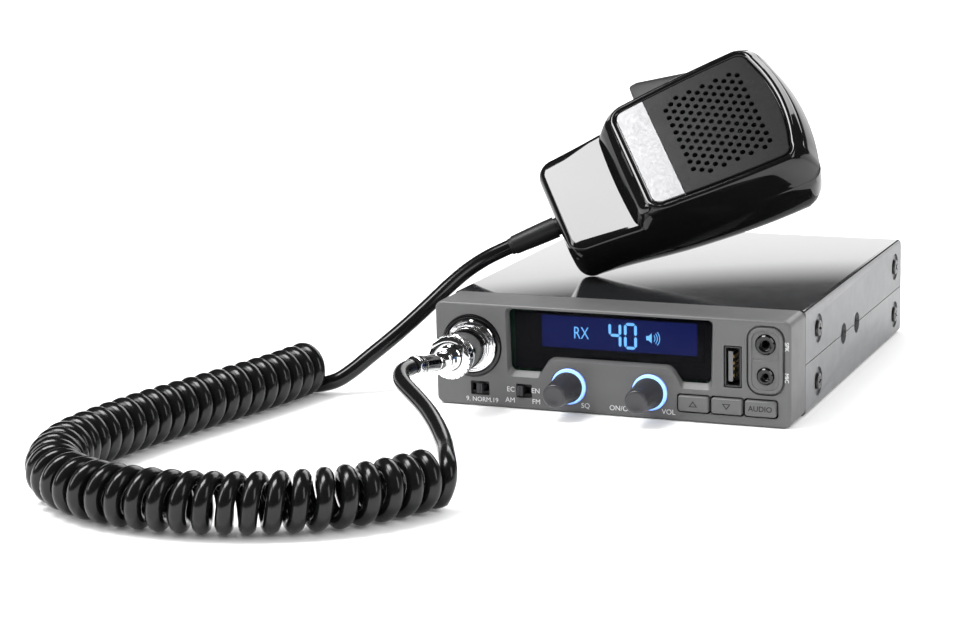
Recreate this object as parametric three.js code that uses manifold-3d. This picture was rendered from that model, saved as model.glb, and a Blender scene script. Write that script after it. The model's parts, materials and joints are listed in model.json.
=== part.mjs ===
// Mobile transceiver with a fist microphone on a curly cord.
// Millimetres, +Z up, front panel towards -Y, origin on the underside, midway between the sides and ends.
import * as THREE from 'three';
import { mergeVertices } from 'three/addons/utils/BufferGeometryUtils.js';
import Module from 'manifold-3d';

const wasm = await Module();
wasm.setup();

// Driving dimensions of the case
const width = 140;
const height = 40;
const length = 175;
const gap = 0.3;             // clearance left between pieces that touch
const over = 1;              // how far a cutter runs past what it cuts
const weld = 0.5;            // how far two joined shapes run into each other
const bezelDepth = 20;
const bezelWall = 2.4;
const bezelCorner = 3;
const sheet = 1.5;           // cover steel
const sheetCorner = 1.6;
const seamHeight = 19.4;     // where the two covers meet
const rearCorner = 4;

// Chassis and what it carries
const chassisWall = 2;
const rearWall = 3;
const finDepth = 6;
const finWidth = 2;
const finPitch = 6;
const finClearOfPort = 14;   // no fin stands nearer than this to the middle of a rear port
const finClearOfJack = 7;
const wallStep = 2;          // how much lower than the covers the side walls stop
const ledgeWidth = 7;
const ledgeThickness = 2;
const noseThickness = 1.5;
const boardThickness = 1.6;
const speakerRadius = 26;
const speakerDepth = 11;
const speakerRimThickness = 1.6;
const speakerMagnetRadius = 12;
const speakerMagnetDepth = 4;
const speakerHeadroom = 1.2;
const speakerSlotSize = [36, 2];
const speakerSlotYs = [-20, -12, -4, 4, 12, 20];
const transistorSize = [16, 8, 9];
const transistorRight = 22;
const ledgeHeight = sheet + gap + speakerDepth + speakerHeadroom;

// Case screws and bracket holes
const screwFromFront = 38.8;
const screwFromRear = 11.2;
const upperScrewHeight = 29.6;
const lowerScrewHeight = 9.2;
const dimpleRadius = 5.6;
const dimpleDepth = 0.8;
const screwHeadRadius = 3.2;
const screwHeadHeight = 1.2;
const screwShankRadius = 1.4;
const screwLength = 4.5;
const screwSlotLength = 3.4;
const screwSlotWidth = 0.8;
const bracketHoleRadius = 4.2;
const bracketHoleSpacing = 21;
const bracketThreadRadius = 2;

// Display
const windowLeftInset = 32.2;
const windowRightInset = 30.5;
const windowBottom = 16;
const windowTopInset = 2.7;
const recessReach = 2;       // how far the bevelled recess runs past the window
const recessTopReach = 1.7;
const recessDepth = 1.2;
const humpHeight = 4.5;      // the raised step over the knobs
const humpLeftInset = 43.5;
const humpRightInset = 46;
const humpSlope = 4.5;
const lcdInset = { left: 6, right: 3, bottom: 1 };
const boardBehindFront = 9.5;

// Controls on the front panel
const knobHeight = 10;
const knobSpacing = 32;
const knobBaseRadius = 5.9;
const knobTipRadius = 4.5;
const knobLength = 15;
const haloRadius = 6.9;
const haloWidth = 1.4;
const haloProud = 0.4;
const haloSeat = 1;          // depth of the pocket that each ring sits in
const shaftRadius = 3;
const shaftPlay = 0.1;
const knobCap = 5;           // the solid end of a knob, past its shaft
const knobEdge = 1;
const knobEdgeDrop = 0.6;
const pointerWidth = 0.8;
const pointerDepth = 0.5;
const pointerStart = 1;
const potWidth = 12;
const potRise = 5.5;
const knobSweep = 1.2;       // clearance between the panel and a knob
const buttonWidth = 11.9;
const buttonHeight = 6;
const buttonSpacing = 0.9;
const buttonCentreHeight = 7;
const buttonProud = 1.3;
const buttonCorner = 0.8;
const buttonStem = [8.9, 3];
const buttonMargin = 5.25;   // from the last button to the side
const buttonSwitchDepth = 3;
const buttonSwitchHeight = 5;
const keyTravel = 0.4;
const buttonPitch = buttonWidth + buttonSpacing;
const lastButtonInset = buttonMargin + buttonWidth / 2;
const switchSlotHeight = 4.8;
const channelSwitchInset = 18;
const channelSlotWidth = 7.6;
const modeSwitchInset = 36;
const modeSlotWidth = 6.2;
const switchCentreHeight = 7;
const leverWidth = 2.2;
const leverProud = 0.8;
const leverHeight = 2.2;
const leverRest = 0.5;       // from the mode lever to the end of its slot
const pocketHeight = 2.8;
const pocketDepth = 3;
const switchBodyMargin = 4;
const switchBodyHeight = 7;

// Sockets on the front panel
const usbInset = 21.9;
const usbSize = [6.3, 15.2];
const usbHeight = 21.9;
const usbMetal = 0.6;
const usbSunk = 0.3;
const usbBack = 2;
const usbTongue = { from: 0.4, to: 2, sunk: 0.8, height: 11 };
const jackPlateInset = 9.4;
const jackPlateSize = [13, 24.6];
const jackPlateHeight = 25;
const jackPlateCorner = 4.6;
const jackPlateProud = 0.8;
const jackPlateSeat = 1;
const jackPlateGroove = { margin: 4, rise: 0.4, height: 0.8, depth: 0.5 };
const jackProud = 0.6;
const jackBodySize = 9;
const jackBack = 2;
const jackBelowPlateTop = 6.2;
const jackSpacing = 11.8;
const speakerJackRadius = 3.55;
const speakerJackBore = 1.9;
const headsetJackRadius = 3;
const headsetJackBore = 1.35;

// Microphone socket and its plug
const socketInset = 15;
const socketHeight = 23.4;
const socketRingRadius = 11.9;
const socketRingProud = 0.8;
const socketRingSeat = 1.6;
const socketFlangeRadius = 10.15;
const socketFlangeProud = 1.6;
const socketBodyRadius = 8.3;
const socketBoreRadius = 5.1;
const spigotWall = 1.5;
const spigotLength = 8;
const spigotRadius = socketBoreRadius + spigotWall;
const couplingPlay = 0.4;
const couplingWall = 0.7;
const couplingFlare = 0.7;
const couplingLength = 20;
const couplingLip = 3;
const couplingRadius = spigotRadius + couplingPlay + couplingWall;
const plugShoulder = 3;
const plugEndsShort = 3;     // from the plug's inner end to the flange
const wireRadius = 3;
const plugTubeWall = 0.2;
const plugTubeLength = 23;
const plugTubeRadius = wireRadius + plugTubeWall;
const clampWall = 0.7;
const clampRadius = plugTubeRadius + clampWall;
const clampLength = 7;
const clampGroove = { starts: [1.6, 3.9], width: 0.7, depth: 0.5 };
const clampTilt = THREE.MathUtils.degToRad(8);
const plugNose = 4;
const plugNoseStep = 0.5;

// Rear panel
const antennaInset = 26;
const gripInset = 26;
const portAboveBoard = 5.1;
const rearPortHeight = ledgeHeight + gap + boardThickness + portAboveBoard;
const antennaPlateSize = 22;
const antennaPlateThickness = 1.6;
const antennaTailRadius = 6.5;
const antennaBarrelRadius = 8;
const antennaBarrelLength = 16;
const antennaBarrelWall = 2;
const antennaFloor = 3;
const antennaContactRadius = 2.6;
const antennaContactBore = 1.7;
const antennaContactLength = 13;
const gripFlange = { radius: 6.5, length: 3 };
const gripNeckRadius = 4.5;
const gripInside = 2;        // how far the grommet and its bore reach past the wall
const gripBore = 3.4;
const rearJackFlange = { radius: 5, length: 2 };
const rearJackRadius = 3.5;
const rearJackInside = 6;
const rearJackBore = 1.8;
const rearJackBack = 1;

// Cord
const coilRadius = 10.5;
const plugLeadRoute = [
  [-55, -144.9, 27.7], [-55.3, -149.5, 28], [-54.6, -154.5, 27.4], [
    -51.6,
    -159.5,
    26,
  ], [-46.5, -164.5, 24.3],
  [-39, -172, 22.3], [-31, -181.5, 20.4], [-23.5, -192, 18.4], [-17, -202.5, 16.2], [-11.6, -212.6, 13.6],
];
const coilRoute = [
  [-11.8, -216, 10.5], [-16.6, -225.5, 10.5], [-25.5, -240.5, 10.5], [
    -39,
    -254.5,
    10.5,
  ], [-60, -265.5, 10.5],
  [-86, -270.5, 10.5], [-114, -267, 10.5], [-137, -252.5, 10.5], [-149, -227, 10.5], [-147, -190, 10.5],
  [-136.5, -146, 10.5], [-128, -112, 10.5], [-124.5, -91, 10.5],
];
const micLeadRoute = [
  [-120.4, -88.2, 3.2], [-115, -87.4, 4.4], [-108.5, -84, 8.4], [-102, -79.4, 14.2], [-95.6, -73.6, 20],
  [-89.6, -67.2, 26], [-84, -60.4, 32.2], [-78.8, -52.9, 38.4], [-73.3, -45.1, 44], [
    -67,
    -38.2,
    48.4,
  ], [-60.8, -33.9, 51.4],
];

// Microphone: x to the holder's right, y from the cord end to the top, z out of the grille
const micTop = 100;
const micTopCrown = 3.5;
const micFoot = -3;
const micSeam = -15;
const micNeckFace = -9.3;
const micBack = -38.8;
const micNeckThinning = 0.84;    // share of the back's depth that is left at the cord end
const micNeckHalf = 24;
const micHeadHalf = 32.5;
const micWidening = [-10, 85];   // where it starts and stops getting wider
const micThickening = 45;        // where its back reaches full depth
const micWall = 2;
const micShoulder = { inset: 1.6, foot: 0.8, top: 6 };
const micBackRings = [
  { inset: 7, foot: 4, top: 9, share: 1 },
  { inset: 3, foot: 1, top: 3.6, share: 0.86 },
  { inset: 0.8, foot: 0.2, top: 0.8, share: 0.5 },
  { inset: 0, foot: 0, top: 0, share: 0 },
];
const micHeadDrop = 5;       // the head's flare starts this far below its rim
const micBossRadius = 3.2;
const headBottom = 31.5;
const headTop = 94;
const headRimBottomHalf = 26.3;
const headRimTopHalf = 29.6;
const headCorner = 7;
const grillePlateInset = 3;
const grillePlateThickness = 1.2;
const grillePlateSunk = 0.3;
const capsuleHeight = 66;    // up the microphone
const capsuleRadius = 11;
const soundHoleRadius = 13;
const soundHoleDepth = 8;
const micBoardTop = -11.6;
const micBoardHalf = 17;
const micBoardSpan = [46, 80];
const labelStripTop = 47;
const pttSpan = [45, 79];        // the talk lever, hinged at its upper end
const pttReach = 43.2;           // how far its free end stands out
const pttHingeReach = 33;
const pttRoot = 25;
const pttBand = [-24, -11];
const pttTravel = 3;
const pttCorner = 1.5;
const pttSlotMargin = { out: 3, below: 1.4, above: 0.9 };
const pttPad = { inset: 8, reach: 2.5, band: 3 };
const pttSwitch = { depth: 8, span: [55, 69] };
const reliefLength = 24;
const reliefAxis = -21;
const reliefEndRadius = 3.5;
const reliefRootRadius = 4.3;
const reliefSeatRadius = 3.6;
const reliefSeatDepth = 3;
const studHeight = 55;
const studStemRadius = 1.8;
const studHeadRadius = 5.5;
const studHeadThickness = 2;
const studStands = 5;
const studShare = 0.9;
const micAzimuth = THREE.MathUtils.degToRad(24.2);
const micElevation = THREE.MathUtils.degToRad(22.2);
const micTwist = THREE.MathUtils.degToRad(46.2);
const micHeel = [18.3, 0, -33.4];   // the corner that it leans on
const micRestsAt = [-30.5, -25.3];
const micScrewSpots = [[0, 14], [0, 84]];
const micScrewShank = 1.2;
const micScrewHead = 2.2;
const micScrewHeadHeight = 1.2;
const micScrewSunk = 1.4;
const micScrewRoom = 0.4;
const micScrewReach = 2;

const front = -length / 2;
const bezelRear = front + bezelDepth;
const caseFront = bezelRear + gap;
const caseRear = length / 2;
const halfWidth = width / 2;
const knobX = [-knobSpacing / 2, knobSpacing / 2];
const socketX = -halfWidth + socketInset;
const jackX = halfWidth - jackPlateInset;
const usbX = halfWidth - usbInset;
const speakerJackZ = jackPlateHeight + jackPlateSize[1] / 2 - jackBelowPlateTop;
const boardFace = front + boardBehindFront;
const behindWall = front + bezelWall + gap;

// Solids
function solid(geometry) {
  const bare = geometry.clone();
  bare.deleteAttribute('normal');
  bare.deleteAttribute('uv');
  const merged = mergeVertices(bare, 1e-4);
  return new wasm.Manifold(new wasm.Mesh({
    numProp: 3,
    vertProperties: new Float32Array(merged.attributes.position.array),
    triVerts: new Uint32Array(merged.index.array),
  }));
}

function geometryOf(body) {
  const mesh = body.getMesh();
  const geometry = new THREE.BufferGeometry();
  geometry.setAttribute('position', new THREE.BufferAttribute(mesh.vertProperties, 3));
  geometry.setIndex(new THREE.BufferAttribute(mesh.triVerts, 1));
  geometry.computeVertexNormals();
  return geometry;
}

const join = (first, ...rest) => rest.reduce((sum, next) => sum.add(next), first);
const cut = (first, ...rest) => rest.reduce((left, next) => left.subtract(next), first);

function block([x0, x1], [y0, y1], [z0, z1]) {
  const geometry = new THREE.BoxGeometry(x1 - x0, y1 - y0, z1 - z0);
  geometry.translate((x0 + x1) / 2, (y0 + y1) / 2, (z0 + z1) / 2);
  return solid(geometry);
}

const around = (centre, size) => [centre - size / 2, centre + size / 2];
const inOrder = (a, b) => [Math.min(a, b), Math.max(a, b)];

// A round bar along y, with its own radius at each end
function rod(x, z, y0, y1, radiusAtStart, radiusAtEnd = radiusAtStart, sides = 20) {
  const geometry = new THREE.CylinderGeometry(radiusAtEnd, radiusAtStart, y1 - y0, sides);
  geometry.translate(x, (y0 + y1) / 2, z);
  return solid(geometry);
}

function crossBar(y, z, x0, x1, radius, sides = 16) {
  const geometry = new THREE.CylinderGeometry(radius, radius, Math.abs(x1 - x0), sides);
  geometry.rotateZ(Math.PI / 2);
  geometry.translate((x0 + x1) / 2, y, z);
  return solid(geometry);
}

function post(x, y, z0, z1, radius, sides = 24) {
  const geometry = new THREE.CylinderGeometry(radius, radius, z1 - z0, sides);
  geometry.rotateX(Math.PI / 2);
  geometry.translate(x, y, (z0 + z1) / 2);
  return solid(geometry);
}

// An outline in x and z, drawn out along y
function along(outline, y0, y1, curveSegments = 6) {
  const geometry = new THREE.ExtrudeGeometry(
    outline,
    { depth: y1 - y0, bevelEnabled: false, curveSegments },
  );
  geometry.rotateX(Math.PI / 2);
  geometry.translate(0, y1, 0);
  return solid(geometry);
}

// An outline in y and z, drawn out along x
function across(outline, x0, x1, curveSegments = 6) {
  const geometry = new THREE.ExtrudeGeometry(
    outline,
    { depth: x1 - x0, bevelEnabled: false, curveSegments },
  );
  geometry.applyMatrix4(new THREE.Matrix4().set(0, 0, 1, x0, 1, 0, 0, 0, 0, 1, 0, 0, 0, 0, 0, 1));
  return solid(geometry);
}

// An outline in x and y, drawn out along z
function slab(outline, z0, z1) {
  const geometry = new THREE.ExtrudeGeometry(outline, { depth: z1 - z0, bevelEnabled: false });
  geometry.translate(0, 0, z0);
  return solid(geometry);
}

function polygon(points) {
  return new THREE.Shape(points.map(([a, b]) => new THREE.Vector2(a, b)));
}

function rounded([a0, a1], [b0, b1], radius) {
  const shape = new THREE.Shape();
  shape.moveTo(a0 + radius, b0);
  shape.lineTo(a1 - radius, b0);
  shape.absarc(a1 - radius, b0 + radius, radius, -Math.PI / 2, 0);
  shape.lineTo(a1, b1 - radius);
  shape.absarc(a1 - radius, b1 - radius, radius, 0, Math.PI / 2);
  shape.lineTo(a0 + radius, b1);
  shape.absarc(a0 + radius, b1 - radius, radius, Math.PI / 2, Math.PI);
  shape.lineTo(a0, b0 + radius);
  shape.absarc(a0 + radius, b0 + radius, radius, Math.PI, 1.5 * Math.PI);
  return shape;
}

// A closed skin through rings of points that match one to one
function loft(rings) {
  const count = rings[0].length;
  const points = rings.flat();
  const triangles = [];
  const cap = (start, flip) => {
    const middle = new THREE.Vector3();
    for (let i = 0; i < count; i += 1) middle.add(points[start + i]);
    points.push(middle.divideScalar(count));
    for (let i = 0; i < count; i += 1) {
      const here = start + i;
      const next = start + ((i + 1) % count);
      triangles.push(...(flip ? [next, here, points.length - 1] : [here, next, points.length - 1]));
    }
  };
  for (let row = 0; row < rings.length - 1; row += 1) {
    for (let i = 0; i < count; i += 1) {
      const a = row * count + i;
      const b = row * count + ((i + 1) % count);
      triangles.push(a, b, b + count, a, b + count, a + count);
    }
  }
  cap(0, true);
  cap((rings.length - 1) * count, false);
  const geometry = new THREE.BufferGeometry();
  geometry.setAttribute(
    'position',
    new THREE.Float32BufferAttribute(points.flatMap((p) => p.toArray()), 3),
  );
  geometry.setIndex(triangles);
  return solid(geometry);
}

const finishes = {
  panel: { color: 0x6b6b6b, roughness: 0.5, metalness: 0.1 },
  lid: { color: 0x2a2b2c, roughness: 0.15, metalness: 0.3 },
  lowerCover: { color: 0x74767a, roughness: 0.3, metalness: 0.5 },
  casting: { color: 0x8d8f92, roughness: 0.6, metalness: 0.8 },
  circuit: { color: 0x1d5a36, roughness: 0.6, metalness: 0 },
  glass: { color: 0x05060a, roughness: 0.05, metalness: 0 },
  lit: { color: 0x1b3f8f, roughness: 0.4, metalness: 0 },
  halo: { color: 0xdce8ff, roughness: 0.3, metalness: 0 },
  blackPlastic: { color: 0x101010, roughness: 0.2, metalness: 0 },
  softBlack: { color: 0x151515, roughness: 0.5, metalness: 0 },
  knob: { color: 0x30343a, roughness: 0.35, metalness: 0.1 },
  chrome: { color: 0xe0e0e0, roughness: 0.08, metalness: 1 },
  steel: { color: 0xa0a4a8, roughness: 0.35, metalness: 1 },
  label: { color: 0xc8c8c8, roughness: 0.35, metalness: 0.9 },
  cord: { color: 0x0c0c0c, roughness: 0.25, metalness: 0 },
};
const materials = Object.fromEntries(
  Object.entries(finishes).map(([name, look]) => [name, new THREE.MeshStandardMaterial(look)]),
);

const transceiver = new THREE.Group();

function add(name, body, finish, parent = transceiver) {
  const mesh = new THREE.Mesh(body.isBufferGeometry ? body : geometryOf(body), materials[finish]);
  mesh.name = name;
  parent.add(mesh);
  return mesh;
}

// Case screws: one spot for each side, end and cover
const screwSpots = [];
for (const side of [-1, 1]) {
  for (const y of [front + screwFromFront, caseRear - screwFromRear]) {
    for (const z of [lowerScrewHeight, upperScrewHeight]) screwSpots.push({ side, y, z });
  }
}
const bracketYs = [-bracketHoleSpacing / 2, bracketHoleSpacing / 2];

function sideOpenings() {
  const holes = [];
  for (const { side, y, z } of screwSpots) {
    holes.push(crossBar(y, z, side * (halfWidth - dimpleDepth), side * (halfWidth + over), dimpleRadius));
    holes.push(crossBar(
      y,
      z,
      side * (halfWidth - sheet - over),
      side * (halfWidth + over),
      screwShankRadius + gap,
      12,
    ));
  }
  for (const side of [-1, 1]) {
    for (const y of bracketYs) {
      holes.push(crossBar(
        y,
        seamHeight,
        side * (halfWidth - sheet - over),
        side * (halfWidth + over),
        bracketHoleRadius,
      ));
    }
  }
  return holes;
}

function addCovers() {
  const wide = [-halfWidth - over, halfWidth + over];
  const full = [caseFront - over, caseRear + over];
  const sideView = rounded([caseFront - 2 * rearCorner, caseRear], [0, height], rearCorner);
  const envelope = across(sideView, ...wide).intersect(block(
    wide,
    [caseFront, caseRear + over],
    [-over, height + over],
  ));
  const skin = along(rounded([-halfWidth, halfWidth], [0, height], sheetCorner), caseFront, caseRear)
    .intersect(envelope)
    .subtract(block([-halfWidth + sheet, halfWidth - sheet], full, [sheet, height - sheet]));
  const openings = sideOpenings();
  const speakerSlots = speakerSlotYs.map((y) => (
    block(around(0, speakerSlotSize[0]), around(y, speakerSlotSize[1]), [-over, sheet + over])
  ));
  const top = cut(skin.intersect(block(wide, full, [seamHeight + gap / 2, height + over])), ...openings);
  const bottom = cut(
    skin.intersect(block(wide, full, [-over, seamHeight - gap / 2])),
    ...openings,
    ...speakerSlots,
  );
  add('top_cover', top, 'lid');
  add('bottom_cover', bottom, 'lowerCover');
}

function addScrews() {
  screwSpots.forEach(({ side, y, z }, index) => {
    const seat = halfWidth - dimpleDepth + gap;
    const head = crossBar(y, z, side * seat, side * (seat + screwHeadHeight), screwHeadRadius, 20);
    const shank = crossBar(
      y,
      z,
      side * (seat - screwLength),
      side * (seat + screwHeadHeight / 2),
      screwShankRadius,
      12,
    );
    const slotDepths = inOrder(side * (seat + screwHeadHeight / 2), side * (seat + screwHeadHeight + over));
    const crossSlot = [
      block(slotDepths, around(y, screwSlotLength), around(z, screwSlotWidth)),
      block(slotDepths, around(y, screwSlotWidth), around(z, screwSlotLength)),
    ];
    add(`case_screw_${index + 1}`, cut(join(head, shank), ...crossSlot), 'steel');
  });
}

function addChassis() {
  const outer = halfWidth - sheet - gap;
  const inner = outer - chassisWall;
  const bottom = sheet + gap;
  const top = height - sheet - gap;
  const rearFace = caseRear - gap - finDepth;
  const innerFace = rearFace - rearWall;
  const finBottom = bottom + rearCorner + 2 * weld;
  const finTop = top - rearCorner - 2 * weld;
  const antennaX = -halfWidth + antennaInset;
  const gripX = halfWidth - gripInset;
  const walls = [-1, 1].map((side) => (
    block(
      inOrder(side * inner, side * outer),
      [caseFront + gap, rearFace - rearWall / 3],
      [bottom + wallStep, top - wallStep],
    )
  ));
  const ledges = [-1, 1].map((side) => block(
    inOrder(side * (inner - ledgeWidth), side * (inner + weld)),
    [caseFront + gap + 2 * weld, rearFace - rearWall + 2 * weld],
    [ledgeHeight - ledgeThickness, ledgeHeight],
  ));
  const back = block(
    [-outer, outer],
    [rearFace - rearWall, rearFace],
    [bottom + rearCorner, top - rearCorner],
  );
  const nose = block(
    [-outer + chassisWall / 2, outer - chassisWall / 2],
    [caseFront + gap + weld, caseFront + gap + weld + noseThickness],
    [bottom + wallStep + 2 * weld, ledgeHeight - weld],
  );
  const fins = [];
  for (let x = finPitch / 2; x < halfWidth - sheet - finWidth - gap; x += finPitch) {
    for (const side of [-1, 1]) {
      const byPort = [antennaX, gripX].some((port) => Math.abs(side * x - port) < finClearOfPort);
      if (byPort || x < finClearOfJack) continue;
      fins.push(block(around(side * x, finWidth), [rearFace - weld, caseRear - gap], [finBottom, finTop]));
    }
  }
  const threads = screwSpots.map(({ side, y, z }) => (
    crossBar(y, z, side * (inner - over), side * (outer + over), screwShankRadius + gap, 12)
  ));
  const bracketThreads = [-1, 1].flatMap((side) => bracketYs.map((y) => (
    crossBar(y, seamHeight, side * (inner - over), side * (outer + over), bracketThreadRadius, 16)
  )));
  const ports = [
    rod(antennaX, rearPortHeight, innerFace - over, rearFace + over, antennaTailRadius + gap),
    rod(gripX, rearPortHeight, innerFace - over, rearFace + over, gripNeckRadius + gap),
    rod(0, rearPortHeight, innerFace - over, rearFace + over, rearJackRadius + gap),
  ];
  const frame = cut(
    join(back, ...walls, ...ledges, nose, ...fins),
    ...threads,
    ...bracketThreads,
    ...ports,
  );
  add('chassis_frame', frame, 'casting');

  const boardFront = caseFront + gap + weld + noseThickness + gap;
  const boardRear = innerFace - gap;
  const boardBase = ledgeHeight + gap;
  const board = block(
    [-inner + gap, inner - gap],
    [boardFront, boardRear],
    [boardBase, boardBase + boardThickness],
  );
  add('main_board', board, 'circuit');
  const [tw, td, th] = transistorSize;
  const onBoard = boardBase + boardThickness + gap;
  const transistor = block(
    [transistorRight - tw, transistorRight],
    [boardRear - td, boardRear],
    [onBoard, onBoard + th],
  );
  add('power_transistor', transistor, 'softBlack');

  const magnetBack = speakerDepth - speakerRimThickness;
  const cone = new THREE.LatheGeometry([
    [0, 3], [8, 3], [speakerRadius - 4, 0.6], [speakerRadius, 0], [speakerRadius, speakerRimThickness],
    [speakerMagnetRadius, magnetBack - speakerMagnetDepth], [
      speakerMagnetRadius,
      magnetBack,
    ], [0, magnetBack],
  ].map(([r, h]) => new THREE.Vector2(r, h)), 24);
  cone.rotateX(Math.PI / 2);
  cone.translate(0, 0, sheet + gap);
  add('loudspeaker', solid(cone), 'softBlack');

  const seat = rearFace + gap;
  const barrelEnd = seat + antennaBarrelLength;
  const barrelBore = antennaBarrelRadius - antennaBarrelWall;
  const socket = cut(
    join(
      block(
        around(antennaX, antennaPlateSize),
        [seat, seat + antennaPlateThickness],
        around(rearPortHeight, antennaPlateSize),
      ),
      rod(antennaX, rearPortHeight, innerFace, seat + weld, antennaTailRadius),
      rod(antennaX, rearPortHeight, seat + weld, barrelEnd, antennaBarrelRadius),
    ),
    rod(antennaX, rearPortHeight, rearFace + antennaFloor, barrelEnd + over, barrelBore),
  );
  const contactEnd = seat + antennaContactLength;
  const contactFloor = rearFace + 2 * antennaFloor;
  const contact = cut(
    rod(antennaX, rearPortHeight, rearFace + antennaFloor - 2 * weld, contactEnd, antennaContactRadius),
    rod(antennaX, rearPortHeight, contactFloor, contactEnd + over, antennaContactBore),
  );
  add('antenna_socket', join(socket, contact), 'chrome');

  const grommet = cut(
    join(
      rod(gripX, rearPortHeight, seat, seat + gripFlange.length, gripFlange.radius),
      rod(gripX, rearPortHeight, innerFace - gripInside, seat + weld, gripNeckRadius),
    ),
    rod(gripX, rearPortHeight, innerFace - gripInside - over, seat + gripFlange.length + over, gripBore),
  );
  add('power_cord_grommet', grommet, 'softBlack');
  const jackInnerEnd = innerFace - rearJackInside;
  const rearJack = cut(
    join(
      rod(0, rearPortHeight, seat, seat + rearJackFlange.length, rearJackFlange.radius),
      rod(0, rearPortHeight, jackInnerEnd, seat + weld, rearJackRadius),
    ),
    rod(0, rearPortHeight, jackInnerEnd + rearJackBack, seat + rearJackFlange.length + over, rearJackBore),
  );
  add('rear_speaker_jack', rearJack, 'softBlack');
}

// Outline of the display window, grown or shrunk by reach, with the step over the knobs along its lower edge
function windowOutline(reach) {
  const left = -halfWidth + windowLeftInset - reach;
  const right = halfWidth - windowRightInset + reach;
  const low = windowBottom - reach;
  const high = height - windowTopInset + Math.min(reach, recessTopReach);
  const stepLeft = -halfWidth + humpLeftInset + reach / 3;
  const stepRight = halfWidth - humpRightInset - reach / 3;
  const step = windowBottom + humpHeight - reach;
  return polygon([
    [left, low], [stepLeft, low], [stepLeft + humpSlope, step], [stepRight, step],
    [stepRight + humpSlope, low], [right, low], [right, high], [left, high],
  ]);
}

const buttonXs = [2, 1, 0].map((place) => halfWidth - lastButtonInset - place * buttonPitch);
const channelX = -halfWidth + channelSwitchInset;
const modeX = -halfWidth + modeSwitchInset;

function addBezel() {
  const shell = along(rounded([-halfWidth, halfWidth], [0, height], bezelCorner), front, bezelRear);
  const hollow = block(
    [-halfWidth + bezelWall, halfWidth - bezelWall],
    [front + bezelWall, bezelRear + over],
    [bezelWall, height - bezelWall],
  );
  const through = [front - over, front + bezelWall + over];
  const plateSpan = [
    around(jackX, jackPlateSize[0] + 2 * gap),
    around(jackPlateHeight, jackPlateSize[1] + 2 * gap),
  ];
  const holes = [
    along(windowOutline(recessReach), front - over, front + recessDepth),
    along(windowOutline(0), ...through),
    rod(socketX, socketHeight, front - over, front + socketRingSeat, socketRingRadius + gap),
    rod(socketX, socketHeight, ...through, socketBodyRadius + gap),
    block(around(usbX, usbSize[0] + 2 * gap), through, around(usbHeight, usbSize[1] + 2 * gap)),
    along(rounded(...plateSpan, jackPlateCorner + gap), front - over, front + jackPlateSeat),
    rod(jackX, speakerJackZ, ...through, speakerJackRadius + gap),
    rod(jackX, speakerJackZ - jackSpacing, ...through, headsetJackRadius + gap),
    block(around(channelX, channelSlotWidth), through, around(switchCentreHeight, switchSlotHeight)),
    block(around(modeX, modeSlotWidth), through, around(switchCentreHeight, switchSlotHeight)),
  ];
  for (const x of knobX) {
    holes.push(rod(x, knobHeight, front - over, front + haloSeat, haloRadius + gap));
    holes.push(rod(x, knobHeight, ...through, shaftRadius + 2 * gap));
  }
  for (const x of buttonXs) {
    holes.push(block(
      around(x, buttonWidth + 2 * gap),
      through,
      around(buttonCentreHeight, buttonHeight + 2 * gap),
    ));
  }
  add('front_bezel', cut(shell, hollow, ...holes), 'panel');
}

function addDisplay() {
  add('display_window', along(windowOutline(-gap), front + recessDepth, front + bezelWall), 'glass');
  const lcdLeft = -halfWidth + windowLeftInset + lcdInset.left;
  const lcdRight = halfWidth - windowRightInset - lcdInset.right;
  const lcdHeights = [windowBottom + humpHeight + lcdInset.bottom, height - windowTopInset - gap];
  add('lcd_panel', block([lcdLeft, lcdRight], [behindWall, boardFace - gap], lcdHeights), 'lit');
  const boardHalf = halfWidth - bezelWall - gap;
  const boardHeights = [bezelWall + gap, height - bezelWall - gap];
  const board = block([-boardHalf, boardHalf], [boardFace, boardFace + boardThickness], boardHeights);
  add('display_board', board, 'circuit');
}

function addKnobs() {
  ['squelch', 'volume'].forEach((name, index) => {
    const x = knobX[index];
    const halo = cut(
      rod(x, knobHeight, front - haloProud, front + haloSeat - gap, haloRadius, haloRadius, 24),
      rod(x, knobHeight, front - over, front + over, haloRadius - haloWidth, haloRadius - haloWidth, 24),
    );
    add(`${name}_halo`, halo, 'halo');
    const base = front - knobSweep;
    const tip = base - knobLength;
    const shaftTip = tip + knobCap;
    const pot = join(
      block(around(x, potWidth), [behindWall, boardFace - gap], [bezelWall + gap, knobHeight + potRise]),
      rod(x, knobHeight, shaftTip, behindWall + weld, shaftRadius, shaftRadius, 24),
    );
    add(`${name}_pot`, pot, 'steel');
    const body = join(
      rod(x, knobHeight, tip, tip + knobEdge, knobTipRadius - knobEdgeDrop, knobTipRadius, 24),
      rod(x, knobHeight, tip + knobEdge, base, knobTipRadius, knobBaseRadius, 24),
    );
    const boreRadius = shaftRadius + shaftPlay;
    const bore = rod(x, knobHeight, shaftTip - gap, base + over, boreRadius, boreRadius, 24);
    const pointerHeights = [knobHeight + pointerStart, knobHeight + knobTipRadius];
    const pointer = block(around(x, pointerWidth), [tip - over, tip + pointerDepth], pointerHeights);
    add(`${name}_knob`, cut(body, bore, pointer), 'knob');
  });
}

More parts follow.
